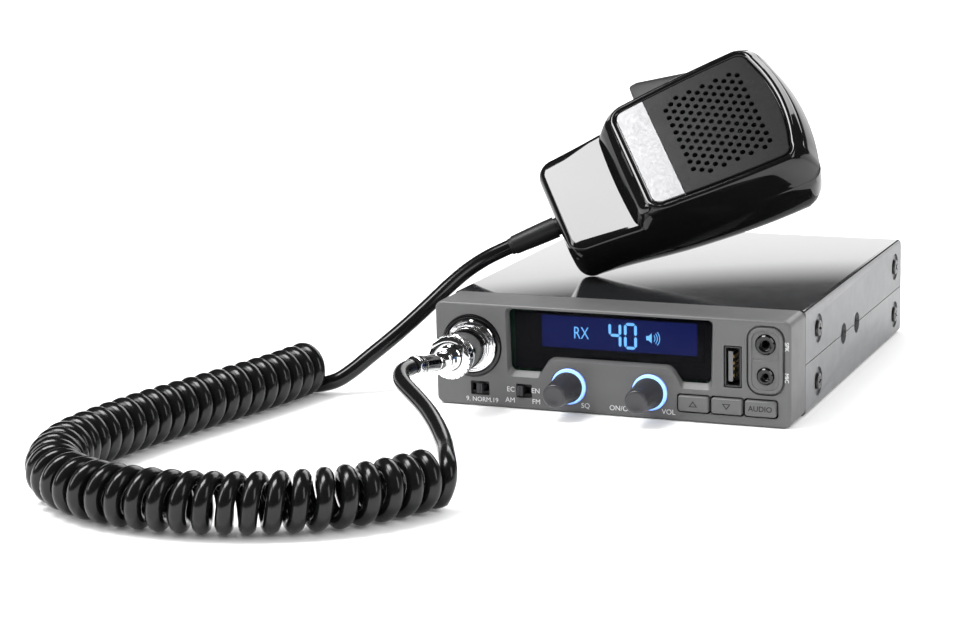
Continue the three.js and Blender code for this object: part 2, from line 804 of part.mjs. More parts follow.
function addButtons() {
  const names = ['up_button', 'down_button', 'audio_button'];
  const switchFace = boardFace - gap - buttonSwitchDepth;
  const wallBack = front + bezelWall;
  buttonXs.forEach((x, index) => {
    const outline = rounded(around(x, buttonWidth), around(buttonCentreHeight, buttonHeight), buttonCorner);
    const stemDepths = [wallBack + weld, switchFace - keyTravel - gap];
    const cap = join(
      along(outline, front - buttonProud, wallBack + 2 * weld),
      block(around(x, buttonStem[0]), stemDepths, around(buttonCentreHeight, buttonStem[1])),
    );
    add(names[index], cap, 'panel');
  });
  const strip = block(
    [buttonXs[0] - buttonStem[0] / 2, buttonXs[2] + buttonStem[0] / 2],
    [switchFace, boardFace - gap],
    around(buttonCentreHeight, buttonSwitchHeight),
  );
  add('button_switch_strip', strip, 'softBlack');
}

function addSlideSwitches() {
  const modeLeverX = modeX - modeSlotWidth / 2 + leverRest + leverWidth / 2;
  const levers = [
    { name: 'channel_switch', x: channelX, at: channelX, slot: channelSlotWidth },
    { name: 'mode_switch', x: modeX, at: modeLeverX, slot: modeSlotWidth },
  ];
  for (const { name, x, at, slot } of levers) {
    const pocketFloor = behindWall + pocketDepth;
    const housing = block(
      around(x, slot + switchBodyMargin),
      [behindWall, boardFace - gap],
      around(switchCentreHeight, switchBodyHeight),
    );
    const pocket = block(
      around(x, slot),
      [behindWall - over, pocketFloor],
      around(switchCentreHeight, pocketHeight),
    );
    add(`${name}_body`, cut(housing, pocket), 'softBlack');
    const leverDepths = [front - leverProud, pocketFloor - gap];
    add(`${name}_lever`, block(
      around(at, leverWidth),
      leverDepths,
      around(switchCentreHeight, leverHeight),
    ), 'softBlack');
  }
}

function addFrontSockets() {
  const usbFace = front + usbSunk;
  const [usbWide, usbTall] = usbSize;
  const shell = cut(
    block(around(usbX, usbWide), [usbFace, boardFace - gap], around(usbHeight, usbTall)),
    block(
      around(usbX, usbWide - 2 * usbMetal),
      [usbFace - over, boardFace - usbBack],
      around(usbHeight, usbTall - 2 * usbMetal),
    ),
  );
  const tongue = block(
    [usbX + usbTongue.from, usbX + usbTongue.to],
    [usbFace + usbTongue.sunk, boardFace - usbBack / 2],
    around(usbHeight, usbTongue.height),
  );
  add('usb_socket', join(shell, tongue), 'steel');

  const plateFace = front - jackPlateProud;
  const plateBody = along(
    rounded(around(jackX, jackPlateSize[0]), around(jackPlateHeight, jackPlateSize[1]), jackPlateCorner),
    plateFace,
    front + jackPlateSeat - gap,
  );
  const jacks = [
    { name: 'speaker_jack', z: speakerJackZ, radius: speakerJackRadius, bore: speakerJackBore },
    {
      name: 'headset_jack',
      z: speakerJackZ - jackSpacing,
      radius: headsetJackRadius,
      bore: headsetJackBore,
    },
  ];
  const passages = jacks.map(({ z, radius }) => rod(
    jackX,
    z,
    plateFace - over,
    front + jackPlateSeat,
    radius + gap,
  ));
  const groove = block(
    around(jackX, jackPlateSize[0] - jackPlateGroove.margin),
    [plateFace - over, plateFace + jackPlateGroove.depth],
    around(jackPlateHeight + jackPlateGroove.rise, jackPlateGroove.height),
  );
  add('jack_plate', cut(plateBody, ...passages, groove), 'panel');
  for (const { name, z, radius, bore } of jacks) {
    const face = plateFace - jackProud;
    const body = join(
      rod(jackX, z, face, boardFace - gap, radius),
      block(around(jackX, jackBodySize), [behindWall, boardFace - gap], around(z, jackBodySize)),
    );
    add(name, cut(body, rod(jackX, z, face - over, boardFace - jackBack, bore)), 'chrome');
  }
}

function addMicSocket() {
  const seatDepth = front + socketRingSeat - gap;
  const onAxis = (y0, y1, radius, sides = 24) => rod(socketX, socketHeight, y0, y1, radius, radius, sides);
  const ring = cut(
    onAxis(front - socketRingProud, seatDepth, socketRingRadius),
    onAxis(front - socketRingProud - over, seatDepth + over, socketFlangeRadius + gap),
  );
  add('socket_trim_ring', ring, 'blackPlastic');
  const flangeFront = front - socketFlangeProud;
  const socket = cut(
    join(
      onAxis(flangeFront, seatDepth, socketFlangeRadius),
      onAxis(flangeFront - spigotLength, flangeFront + weld, spigotRadius),
      onAxis(seatDepth - weld, boardFace - gap, socketBodyRadius, 20),
    ),
    onAxis(flangeFront - spigotLength - over, front + socketRingSeat - 2 * gap, socketBoreRadius, 20),
  );
  add('mic_socket', socket, 'chrome');

  const ringRear = flangeFront - gap;
  const ringFront = ringRear - couplingLength;
  const ringBore = spigotRadius + couplingPlay;
  const lipBack = ringFront + couplingLip;
  const coupling = cut(
    join(
      onAxis(lipBack, ringRear, couplingRadius),
      rod(socketX, socketHeight, ringFront, lipBack, couplingRadius, couplingRadius + couplingFlare, 24),
    ),
    onAxis(lipBack, ringRear + over, ringBore),
    onAxis(ringFront - over, lipBack + over, socketBoreRadius, 20),
  );
  add('coupling_ring', coupling, 'chrome');

  const shoulder = lipBack + gap;
  const noseStart = ringFront - plugNose;
  const plugRadius = socketBoreRadius - gap;
  const barrel = join(
    onAxis(shoulder, shoulder + plugShoulder, ringBore - gap),
    onAxis(ringFront - weld, flangeFront - plugEndsShort, plugRadius, 20),
    rod(socketX, socketHeight, noseStart, ringFront - weld, plugTubeRadius + plugNoseStep, plugRadius, 20),
  );
  add('plug_barrel', barrel, 'chrome');

  const tailGroup = new THREE.Group();
  tailGroup.position.set(socketX, noseStart - 2 * gap, socketHeight);
  tailGroup.rotation.x = -clampTilt;
  const tubeEnd = -plugTubeLength;
  const tail = join(
    rod(0, 0, tubeEnd - clampLength, 0, plugTubeRadius),
    rod(0, 0, tubeEnd - clampLength, tubeEnd, clampRadius),
  );
  const rings = clampGroove.starts.map((back) => cut(
    rod(0, 0, tubeEnd - back - clampGroove.width, tubeEnd - back, clampRadius + over),
    rod(0, 0, tubeEnd - back - over, tubeEnd - back + over, clampRadius - clampGroove.depth),
  ));
  add('cable_clamp', cut(tail, ...rings), 'chrome', tailGroup);
  transceiver.add(tailGroup);
}

// A round tube along a route of points
function tube(route, radius, sides, steps) {
  const curve = new THREE.CatmullRomCurve3(route.map((p) => new THREE.Vector3(...p)), false, 'centripetal');
  const section = new THREE.Shape();
  for (let i = 0; i < sides; i += 1) {
    const turn = (2 * Math.PI * i) / sides;
    if (i === 0) section.moveTo(radius * Math.cos(turn), radius * Math.sin(turn));
    else section.lineTo(radius * Math.cos(turn), radius * Math.sin(turn));
  }
  return solid(new THREE.ExtrudeGeometry(section, { steps, extrudePath: curve, bevelEnabled: false }));
}

function addCord() {
  add('cord_lead_plug', tube(plugLeadRoute, wireRadius, 8, 14), 'cord');
  add('curly_coil', tube(coilRoute, coilRadius, 12, 26), 'cord');
  add('cord_lead_mic', tube(micLeadRoute, wireRadius, 8, 16), 'cord');
}

// From 0 to 1 and level at both ends
const smooth = (t) => {
  const s = THREE.MathUtils.clamp(t, 0, 1);
  return s * s * (3 - 2 * s);
};

// Half the microphone's width at a height, at its widest section
const micHalf = (y) => THREE.MathUtils.lerp(
  micNeckHalf,
  micHeadHalf,
  smooth((y - micWidening[0]) / (micWidening[1] - micWidening[0])),
);

// One rounded outline of the microphone: half(y) gives its half width, low and high its ends,
// and the high end bows out in the middle
function micRing(half, low, high, depth, radius = headCorner) {
  const ring = [];
  const arcSteps = 3;
  const sideSteps = 4;
  const crownSteps = 4;
  const put = (x, y) => ring.push(new THREE.Vector3(x, y, depth(y)));
  const corner = (side, y, start) => {
    for (let i = 0; i <= arcSteps; i += 1) {
      const turn = start + (i * Math.PI) / 2 / arcSteps;
      put(side * (half(y) - radius) + radius * Math.cos(turn), y + radius * Math.sin(turn));
    }
  };
  const sideOf = (side, from, to) => {
    for (let i = 1; i < sideSteps; i += 1) {
      const y = from + ((to - from) * i) / sideSteps;
      put(side * half(y), y);
    }
  };
  corner(1, low + radius, -Math.PI / 2);
  sideOf(1, low + radius, high - radius);
  corner(1, high - radius, 0);
  const straight = half(high - radius) - radius;
  for (let i = 1; i < crownSteps; i += 1) {
    const share = 1 - (2 * i) / crownSteps;
    put(straight * share, high + micTopCrown * (1 - share * share));
  }
  corner(-1, high - radius, Math.PI / 2);
  sideOf(-1, high - radius, low + radius);
  corner(-1, low + radius, Math.PI);
  return ring;
}

const flat = (z) => () => z;
const crowned = (share) => (y) => {
  const thinning = THREE.MathUtils.lerp(micNeckThinning, 1, smooth(y / micThickening));
  return micSeam - gap + (micBack - micSeam) * share * thinning;
};
const headHalf = (y) => THREE.MathUtils.lerp(
  headRimBottomHalf,
  headRimTopHalf,
  (y - headBottom) / (headTop - headBottom),
);

function addMicrophone() {
  const mic = new THREE.Group();
  const shrink = (by) => (y) => micHalf(y) - by;
  const plateBase = -grillePlateThickness - grillePlateSunk;
  const seamEdge = (inset) => flat(inset ? micSeam - over : micSeam);
  const lowerBody = (inset) => loft([
    micRing(shrink(inset), micFoot + inset, micTop - inset, seamEdge(inset), headCorner - inset),
    micRing(
      shrink(micShoulder.inset + inset),
      micFoot + micShoulder.foot + inset,
      micTop - micShoulder.top - inset,
      flat(micNeckFace - inset),
      headCorner - inset,
    ),
  ]);
  const headBody = (inset) => loft([
    micRing(
      shrink(inset),
      headBottom - micHeadDrop + inset,
      micTop - inset,
      seamEdge(inset),
      headCorner - inset,
    ),
    micRing(
      (y) => headHalf(y) - inset,
      headBottom + inset,
      headTop - inset,
      flat(inset ? plateBase - micWall + gap : 0),
      headCorner - inset,
    ),
  ]);
  const plateRing = (grow, z) => micRing(
    (y) => headHalf(y) - grillePlateInset + grow,
    headBottom + grillePlateInset - grow,
    headTop - grillePlateInset + grow,
    flat(z),
    headCorner - grillePlateInset + grow,
  );
  const recess = loft([plateRing(gap, plateBase - gap), plateRing(gap, over)]);
  const soundHole = post(0, capsuleHeight, -soundHoleDepth, 0, soundHoleRadius);
  const pttSlot = block(
    [-pttReach - pttSlotMargin.out, -pttRoot + pttTravel + pttSlotMargin.out],
    [pttSpan[0] - pttSlotMargin.below, pttSpan[1] + pttSlotMargin.above],
    [pttBand[0] - gap, pttBand[1] + gap],
  );
  const screwTip = micSeam + micScrewReach;
  const bossHoles = micScrewSpots.map(([x, y]) => post(
    x,
    y,
    micBack - over,
    screwTip + over,
    micScrewShank + gap,
    12,
  ));
  const bosses = micScrewSpots.map(([x, y]) => {
    const roof = (y < headBottom ? micNeckFace : 0) - micWall;
    return post(x, y, micSeam, roof, micBossRadius, 16);
  });
  const frontShell = join(
    cut(join(lowerBody(0), headBody(0)), lowerBody(micWall), headBody(micWall)),
    ...bosses,
  );
  add('mic_front_shell', cut(frontShell, recess, soundHole, pttSlot, ...bossHoles), 'blackPlastic', mic);

  const backRing = ({ inset, foot, top }, wall, depth) => micRing(
    shrink(inset + wall),
    micFoot + foot + wall,
    micTop - top - wall,
    depth,
    headCorner - wall,
  );
  const [floorRing, , middleRing, rimRing] = micBackRings;
  const backDepth = micSeam - gap - micBack;
  const backOuter = loft(micBackRings.map((ring) => backRing(ring, 0, crowned(ring.share))));
  const backInner = loft([
    backRing(floorRing, micWall, crowned(1 - micWall / backDepth)),
    backRing(middleRing, micWall, crowned(middleRing.share)),
    backRing(rimRing, micWall, flat(micSeam + over)),
  ]);
  const floor = crowned(1);
  const backBosses = micScrewSpots.map(([x, y]) => post(
    x,
    y,
    floor(y) + weld,
    micSeam - gap,
    micBossRadius,
    16,
  ));
  const reliefDepth = micFoot + micWall + reliefSeatDepth;
  const reliefSeat = rod(0, reliefAxis, micFoot - 2 * over, reliefDepth, reliefSeatRadius + gap);
  const headSeats = micScrewSpots.map(([x, y]) => (
    post(x, y, micBack - over, floor(y) + micScrewSunk, micScrewHead + micScrewRoom, 16)
  ));
  const studFoot = crowned(studShare)(studHeight) + micWall;
  const studSeat = post(0, studHeight, micBack - over, studFoot + over, studStemRadius + gap, 16);
  const hollowBack = join(cut(backOuter, backInner), ...backBosses);
  const backShell = cut(hollowBack, reliefSeat, pttSlot, studSeat, ...bossHoles, ...headSeats);
  add('mic_back_shell', backShell, 'blackPlastic', mic);

  const plate = loft([plateRing(0, plateBase), plateRing(0, -grillePlateSunk)]);
  const wide = [-micHeadHalf, micHeadHalf];
  const thick = [plateBase - over, over];
  const labelRegion = block(wide, [micFoot, labelStripTop], thick);
  const plateRegion = block(wide, [labelStripTop + gap, micTop], thick);
  add('mic_grille_plate', plate.intersect(plateRegion), 'softBlack', mic);
  add('mic_label_plate', plate.intersect(labelRegion), 'label', mic);

  const boardBack = micBoardTop - boardThickness;
  add('mic_capsule', post(
    0,
    capsuleHeight,
    micBoardTop + gap,
    plateBase - gap,
    capsuleRadius,
    20,
  ), 'softBlack', mic);
  add('mic_board', block(
    [-micBoardHalf, micBoardHalf],
    micBoardSpan,
    [boardBack, micBoardTop],
  ), 'circuit', mic);

  const ptt = join(
    slab(polygon([
      [-pttRoot, pttSpan[0]], [-pttRoot, pttSpan[1]], [-pttHingeReach, pttSpan[1]], [
        -pttReach,
        pttSpan[0] + pttCorner,
      ],
      [-pttReach + pttCorner, pttSpan[0]],
    ]), ...pttBand),
    block(
      [-pttRoot - over, -pttRoot + pttPad.reach],
      [pttSpan[0] + pttPad.inset, pttSpan[1] - pttPad.inset],
      [pttBand[0] + pttPad.band, pttBand[1] - pttPad.band],
    ),
  );
  add('ptt_button', ptt, 'softBlack', mic);
  const switchFace = -pttRoot + pttPad.reach + pttTravel + gap;
  const switchTop = boardBack - gap;
  const switchBody = block(
    [switchFace, switchFace + pttSwitch.depth],
    pttSwitch.span,
    [switchTop - pttSwitch.depth, switchTop],
  );
  add('ptt_switch', switchBody, 'steel', mic);

  const relief = join(
    rod(0, reliefAxis, -reliefLength, micFoot - over, reliefEndRadius, reliefRootRadius),
    rod(0, reliefAxis, micFoot - over - weld, reliefDepth - gap, reliefSeatRadius),
  );
  add('mic_strain_relief', relief, 'softBlack', mic);
  const studNeck = micBack - studStands;
  const stud = join(
    post(0, studHeight, studNeck - studHeadThickness, studNeck, studHeadRadius, 20),
    post(0, studHeight, studNeck - weld, studFoot + weld, studStemRadius, 16),
  );
  add('hang_stud', stud, 'steel', mic);
  micScrewSpots.forEach(([x, y], index) => {
    const seat = floor(y) + micScrewSunk - gap;
    const screw = join(
      post(x, y, seat - micScrewHeadHeight, seat, micScrewHead, 16),
      post(x, y, seat - weld, screwTip, micScrewShank, 12),
    );
    add(`mic_screw_${index + 1}`, screw, 'steel', mic);
  });

  // Pointing away from the panel and up, with the grille turned skywards
  const up = new THREE.Vector3(
    Math.cos(micAzimuth) * Math.cos(micElevation),
    Math.sin(micAzimuth) * Math.cos(micElevation),
    Math.sin(micElevation),
  );
  const level = new THREE.Vector3(Math.sin(micAzimuth), -Math.cos(micAzimuth), 0);
  const skyward = new THREE.Vector3().crossVectors(level, up).normalize();
  const facing = level.multiplyScalar(Math.cos(micTwist)).addScaledVector(skyward, Math.sin(micTwist));
  const right = new THREE.Vector3().crossVectors(up, facing);
  mic.setRotationFromMatrix(new THREE.Matrix4().makeBasis(right, up, facing));
  const corner = new THREE.Vector3(...micHeel).applyQuaternion(mic.quaternion);
  mic.position.set(micRestsAt[0] - corner.x, micRestsAt[1] - corner.y, 0);
  mic.updateMatrixWorld(true);
  const lowest = new THREE.Box3().setFromObject(mic, true).min.z;
  mic.position.z = height + gap - lowest;
  transceiver.add(mic);
}

addBezel();
addDisplay();
addKnobs();
addButtons();
addSlideSwitches();
addFrontSockets();
addMicSocket();
addCovers();
addScrews();
addChassis();
addCord();
addMicrophone();

export default transceiver;
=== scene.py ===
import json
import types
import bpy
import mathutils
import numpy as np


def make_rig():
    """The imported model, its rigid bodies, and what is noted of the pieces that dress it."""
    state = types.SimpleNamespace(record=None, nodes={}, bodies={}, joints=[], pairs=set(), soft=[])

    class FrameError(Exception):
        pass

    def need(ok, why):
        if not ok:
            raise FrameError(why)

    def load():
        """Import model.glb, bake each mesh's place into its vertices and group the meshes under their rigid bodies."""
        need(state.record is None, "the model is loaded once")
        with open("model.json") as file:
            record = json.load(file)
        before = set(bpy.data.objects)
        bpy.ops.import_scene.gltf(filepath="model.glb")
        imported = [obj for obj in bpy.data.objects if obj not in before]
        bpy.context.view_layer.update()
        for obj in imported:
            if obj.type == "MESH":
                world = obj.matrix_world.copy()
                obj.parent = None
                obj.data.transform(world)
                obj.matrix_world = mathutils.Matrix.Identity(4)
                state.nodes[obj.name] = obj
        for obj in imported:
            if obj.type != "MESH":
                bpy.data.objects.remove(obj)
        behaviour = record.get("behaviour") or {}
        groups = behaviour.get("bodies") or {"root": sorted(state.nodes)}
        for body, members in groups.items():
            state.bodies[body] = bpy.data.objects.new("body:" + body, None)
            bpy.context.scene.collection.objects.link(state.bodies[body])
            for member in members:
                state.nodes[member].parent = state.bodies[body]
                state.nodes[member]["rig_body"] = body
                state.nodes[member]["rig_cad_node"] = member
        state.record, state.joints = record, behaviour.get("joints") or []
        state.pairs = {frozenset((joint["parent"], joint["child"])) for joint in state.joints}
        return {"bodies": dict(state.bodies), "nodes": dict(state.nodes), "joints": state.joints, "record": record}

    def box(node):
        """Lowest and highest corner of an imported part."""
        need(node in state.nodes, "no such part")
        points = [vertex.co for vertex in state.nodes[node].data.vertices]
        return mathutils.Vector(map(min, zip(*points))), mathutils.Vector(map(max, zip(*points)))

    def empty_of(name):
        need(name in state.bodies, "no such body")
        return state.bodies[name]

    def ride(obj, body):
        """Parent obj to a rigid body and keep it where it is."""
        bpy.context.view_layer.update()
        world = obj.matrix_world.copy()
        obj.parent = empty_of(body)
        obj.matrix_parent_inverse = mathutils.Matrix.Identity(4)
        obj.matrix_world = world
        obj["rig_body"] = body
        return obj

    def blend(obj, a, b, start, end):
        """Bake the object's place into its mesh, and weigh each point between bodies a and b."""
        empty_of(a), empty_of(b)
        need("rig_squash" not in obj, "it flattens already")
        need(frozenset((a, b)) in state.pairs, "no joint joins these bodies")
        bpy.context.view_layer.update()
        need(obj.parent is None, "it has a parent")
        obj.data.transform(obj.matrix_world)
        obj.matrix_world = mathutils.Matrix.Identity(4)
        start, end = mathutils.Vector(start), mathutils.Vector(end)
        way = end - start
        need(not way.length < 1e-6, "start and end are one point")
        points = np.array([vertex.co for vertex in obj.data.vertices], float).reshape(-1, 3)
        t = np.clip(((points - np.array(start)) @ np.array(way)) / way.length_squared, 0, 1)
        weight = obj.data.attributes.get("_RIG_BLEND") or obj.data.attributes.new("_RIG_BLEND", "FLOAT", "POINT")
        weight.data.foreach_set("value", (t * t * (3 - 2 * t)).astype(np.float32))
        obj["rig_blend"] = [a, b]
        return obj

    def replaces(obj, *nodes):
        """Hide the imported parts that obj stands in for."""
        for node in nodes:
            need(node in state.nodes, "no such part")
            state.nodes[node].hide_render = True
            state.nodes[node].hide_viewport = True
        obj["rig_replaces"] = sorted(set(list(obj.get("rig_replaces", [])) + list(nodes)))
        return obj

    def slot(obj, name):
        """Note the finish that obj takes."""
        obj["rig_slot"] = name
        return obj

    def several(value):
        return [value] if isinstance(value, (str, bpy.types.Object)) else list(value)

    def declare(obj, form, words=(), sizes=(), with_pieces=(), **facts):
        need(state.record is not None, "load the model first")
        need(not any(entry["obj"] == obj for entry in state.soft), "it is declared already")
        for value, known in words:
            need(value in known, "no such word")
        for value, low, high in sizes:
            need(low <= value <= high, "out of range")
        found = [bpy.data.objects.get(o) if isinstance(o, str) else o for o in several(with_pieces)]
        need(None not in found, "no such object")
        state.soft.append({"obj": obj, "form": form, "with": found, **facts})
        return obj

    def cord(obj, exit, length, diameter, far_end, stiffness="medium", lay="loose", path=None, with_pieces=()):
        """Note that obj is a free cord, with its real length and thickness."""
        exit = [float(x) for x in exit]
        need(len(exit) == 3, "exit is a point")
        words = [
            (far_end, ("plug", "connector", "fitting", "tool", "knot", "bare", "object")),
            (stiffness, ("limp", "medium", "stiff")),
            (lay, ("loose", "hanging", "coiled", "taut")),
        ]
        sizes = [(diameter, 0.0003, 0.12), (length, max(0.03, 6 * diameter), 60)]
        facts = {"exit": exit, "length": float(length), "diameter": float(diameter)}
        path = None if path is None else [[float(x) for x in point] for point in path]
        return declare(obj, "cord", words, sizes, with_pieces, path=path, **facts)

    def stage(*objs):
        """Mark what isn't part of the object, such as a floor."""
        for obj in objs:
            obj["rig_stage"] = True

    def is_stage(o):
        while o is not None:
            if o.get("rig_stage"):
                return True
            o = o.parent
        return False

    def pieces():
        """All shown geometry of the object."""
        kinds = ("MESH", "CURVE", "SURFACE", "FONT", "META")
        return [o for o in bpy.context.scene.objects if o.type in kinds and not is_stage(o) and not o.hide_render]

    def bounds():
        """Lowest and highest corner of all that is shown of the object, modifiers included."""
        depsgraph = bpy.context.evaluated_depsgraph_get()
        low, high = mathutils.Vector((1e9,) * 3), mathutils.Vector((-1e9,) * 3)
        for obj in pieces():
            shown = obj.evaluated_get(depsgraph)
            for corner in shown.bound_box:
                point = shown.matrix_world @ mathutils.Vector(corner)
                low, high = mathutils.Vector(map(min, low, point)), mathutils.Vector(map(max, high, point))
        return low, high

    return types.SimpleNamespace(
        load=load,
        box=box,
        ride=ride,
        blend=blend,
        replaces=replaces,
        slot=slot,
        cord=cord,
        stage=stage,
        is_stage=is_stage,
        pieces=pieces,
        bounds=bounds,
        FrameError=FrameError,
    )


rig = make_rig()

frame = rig.load()

import json
import math

import bmesh
import bpy
from mathutils import Matrix, Vector

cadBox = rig.bounds()
mm = 0.001
scene = bpy.context.scene
nodes = frame["nodes"]


# Camera

camera = {
    "at": (302.977, -936.858, 231.062),
    "yaw": 22.64,
    "pitch": 11.85,
    "roll": -1.39,
    "lens": 93.055,
    "sensor": 36,
}


def placeCamera():
    yaw, pitch, roll = (math.radians(camera[turn]) for turn in ("yaw", "pitch", "roll"))
    forward = Vector((-math.sin(yaw) * math.cos(pitch), math.cos(yaw) * math.cos(pitch), -math.sin(pitch)))
    level = Vector((math.cos(yaw), math.sin(yaw), 0))
    upright = level.cross(forward)
    right = level * math.cos(roll) + upright * math.sin(roll)
    up = upright * math.cos(roll) - level * math.sin(roll)
    lens = bpy.data.cameras.new("camera")
    lens.lens = camera["lens"]
    lens.sensor_width = camera["sensor"]
    eye = bpy.data.objects.new("camera", lens)
    scene.collection.objects.link(eye)
    facing = Matrix((right, up, -forward)).transposed().to_4x4()
    eye.matrix_world = Matrix.Translation(Vector(camera["at"]) * mm) @ facing
    scene.camera = eye


placeCamera()
print("camera placed")


# Shader building: a strand is one value on its way to a shader, with maths on it

class Strand:
    def __init__(self, tree, socket):
        self.tree = tree
        self.socket = socket

    def maths(self, operation, first, second):
        made = self.tree.nodes.new("ShaderNodeMath")
        made.operation = operation
        for entry, value in zip(made.inputs, (first, second)):
            if isinstance(value, Strand):
                self.tree.links.new(value.socket, entry)
            else:
                entry.default_value = value
        return Strand(self.tree, made.outputs[0])

    def __add__(self, other):
        return self.maths("ADD", self, other)

    __radd__ = __add__

    def __sub__(self, other):
        return self.maths("SUBTRACT", self, other)

    def __rsub__(self, other):
        return self.maths("SUBTRACT", other, self)

    def __mul__(self, other):
        return self.maths("MULTIPLY", self, other)

    __rmul__ = __mul__

    def __truediv__(self, other):
        return self.maths("DIVIDE", self, other)

    def __pow__(self, other):
        return self.maths("POWER", self, other)

    def __gt__(self, other):
        return self.maths("GREATER_THAN", self, other)

    def __lt__(self, other):
        return self.maths("LESS_THAN", self, other)


class Finish:
    def __init__(self, name, **fixed):
        self.material = bpy.data.materials.new(name)
        self.material.use_nodes = True
        self.tree = self.material.node_tree
        self.tree.nodes.clear()
        self.shader = self.tree.nodes.new("ShaderNodeBsdfPrincipled")
        surface = self.tree.nodes.new("ShaderNodeOutputMaterial")
        self.tree.links.new(self.shader.outputs[0], surface.inputs[0])
        for socket, value in fixed.items():
            self.shader.inputs[socket.replace("_", " ")].default_value = value

    # kind of node, its settings, then the values or strands of its sockets
    def node(self, kind, settings=None, sockets=None, output=0):
        made = self.tree.nodes.new("ShaderNode" + kind)
        for key, value in (settings or {}).items():
            if key == "stops":
                ramp = made.color_ramp
                while len(ramp.elements) < len(value):
                    ramp.elements.new(0.5)
                for stop, (place, colour) in zip(ramp.elements, value):
                    stop.position = place
                    stop.color = (*colour, 1)
            else:
                setattr(made, key, value)
        for key, value in (sockets or {}).items():
            if isinstance(value, Strand):
                self.tree.links.new(value.socket, made.inputs[key])
            else:
                made.inputs[key].default_value = value
        return Strand(self.tree, made.outputs[output])

    def feed(self, socket, strand):
        self.tree.links.new(strand.socket, self.shader.inputs[socket])

    def spot(self, scale=(1, 1, 1)):
        place = self.node("TexCoord", output=3)
        return self.node("VectorMath", {"operation": "MULTIPLY"}, {0: place, 1: scale})

    # the object's own x, y and z, in metres
    def axes(self):
        split = self.node("SeparateXYZ", {}, {0: self.node("TexCoord", output=3)})
        return [Strand(self.tree, output) for output in split.socket.node.outputs]

    def noise(self, scale, detail=3, stretch=(1, 1, 1)):
        return self.node("TexNoise", {}, {"Vector": self.spot(stretch), "Scale": scale, "Detail": detail})

    def between(self, factor, dark, light):
        dark, light = (end if isinstance(end, Strand) else (*end, 1) for end in (dark, light))
        return self.node("Mix", {"data_type": "RGBA"}, {0: factor, 6: dark, 7: light}, 2)

    def bump(self, height, strength, depth):
        sockets = {"Height": height, "Strength": strength, "Distance": depth * mm}
        self.feed("Normal", self.node("Bump", {}, sockets))


def shade(colour, share):
    return tuple(min(1, part * share) for part in colour)


# Moulded, painted and plated surfaces share their make-up: a slow mottle in the colour,
# handling marks in the roughness and a fine grain in the height
def surfaceFinish(name, colour, roughness, grain=(2600, 0.15, 0.03), mottle=0.12, marks=0.25,
                  stretch=(1, 1, 1), **fixed):
    finish = Finish(name, **fixed)
    slow = finish.noise(60, 4)
    finish.feed("Base Color", finish.between(slow, shade(colour, 1 - mottle), shade(colour, 1 + mottle)))
    rubbed = finish.noise(170, 5, stretch)
    finish.feed("Roughness", rubbed * (2 * marks * roughness) + roughness * (1 - marks))
    scale, strength, depth = grain
    finish.bump(finish.noise(scale, 2, stretch), strength, depth)
    return finish


# Gloss on the lid's top and a duller finish on its turned-down sides, with the one paint in a shaded and a lit copy:
# painted shade darkens the top, painted light makes the sides a lighter grey
def lidPaint():
    finish = Finish("lidPaint", Metallic=0.3)
    top = finish.axes()[2] > 39.2 * mm
    slow, rubbed = finish.noise(60, 4), finish.noise(170, 5)
    shadedTopCopy = finish.between(slow, (0.024, 0.025, 0.027), (0.034, 0.035, 0.037))
    litSideCopy = finish.between(slow, (0.125, 0.128, 0.132), (0.165, 0.169, 0.174))
    # painted light and shade: the top takes the darker copy of the one paint, the sides the lighter grey copy
    finish.feed("Base Color", finish.between(top, litSideCopy, shadedTopCopy))
    finish.feed("Coat Weight", top)
    finish.feed("Roughness", (rubbed * 0.04 + 0.07) * top + (rubbed * 0.12 + 0.34) * (1 - top))
    finish.bump(finish.noise(900, 2), 0.04, 0.02)
    return finish


def coverPaint():
    return surfaceFinish("coverPaint", (0.140, 0.144, 0.149), 0.36, grain=(5200, 0.2, 0.03), marks=0.2,
                         Metallic=0.4)


def brushedMetal(name, colour, roughness, along):
    finish = Finish(name, Metallic=1)
    lines = finish.noise(900, 6, along)
    finish.feed("Base Color", finish.between(lines, shade(colour, 0.86), shade(colour, 1.08)))
    finish.feed("Roughness", lines * 0.25 + roughness)
    finish.bump(lines, 0.12, 0.02)
    return finish


def platedMetal(name, colour, roughness):
    finish = Finish(name, Metallic=1)
    slow = finish.noise(90, 3)
    finish.feed("Base Color", finish.between(slow, shade(colour, 0.92), colour))
    finish.feed("Roughness", finish.noise(400, 5) * 0.05 + roughness)
    finish.bump(finish.noise(700, 2), 0.015, 0.01)
    return finish


def castMetal():
    finish = Finish("castMetal", Metallic=1)
    pores = finish.node("TexVoronoi", {}, {"Vector": finish.spot(), "Scale": 1600})
    cloud = finish.noise(140, 5)
    finish.feed("Base Color", finish.between(cloud, (0.33, 0.335, 0.34), (0.50, 0.50, 0.505)))
    finish.feed("Roughness", cloud * 0.25 + 0.42)
    finish.bump(pores + finish.noise(4200, 3) * 0.6, 0.25, 0.06)
    return finish


def circuitBoard():
    finish = Finish("circuitBoard", Roughness=0.4)
    tracks = finish.node("TexBrick", {"offset": 0.5}, {
        "Vector": finish.spot(),
        "Color1": (0.015, 0.10, 0.045, 1),
        "Color2": (0.012, 0.085, 0.038, 1),
        "Mortar": (0.05, 0.22, 0.09, 1),
        "Scale": 120,
        "Mortar Size": 0.03,
    })
    finish.feed("Base Color", tracks)
    finish.bump(finish.noise(1500, 2), 0.1, 0.03)
    return finish


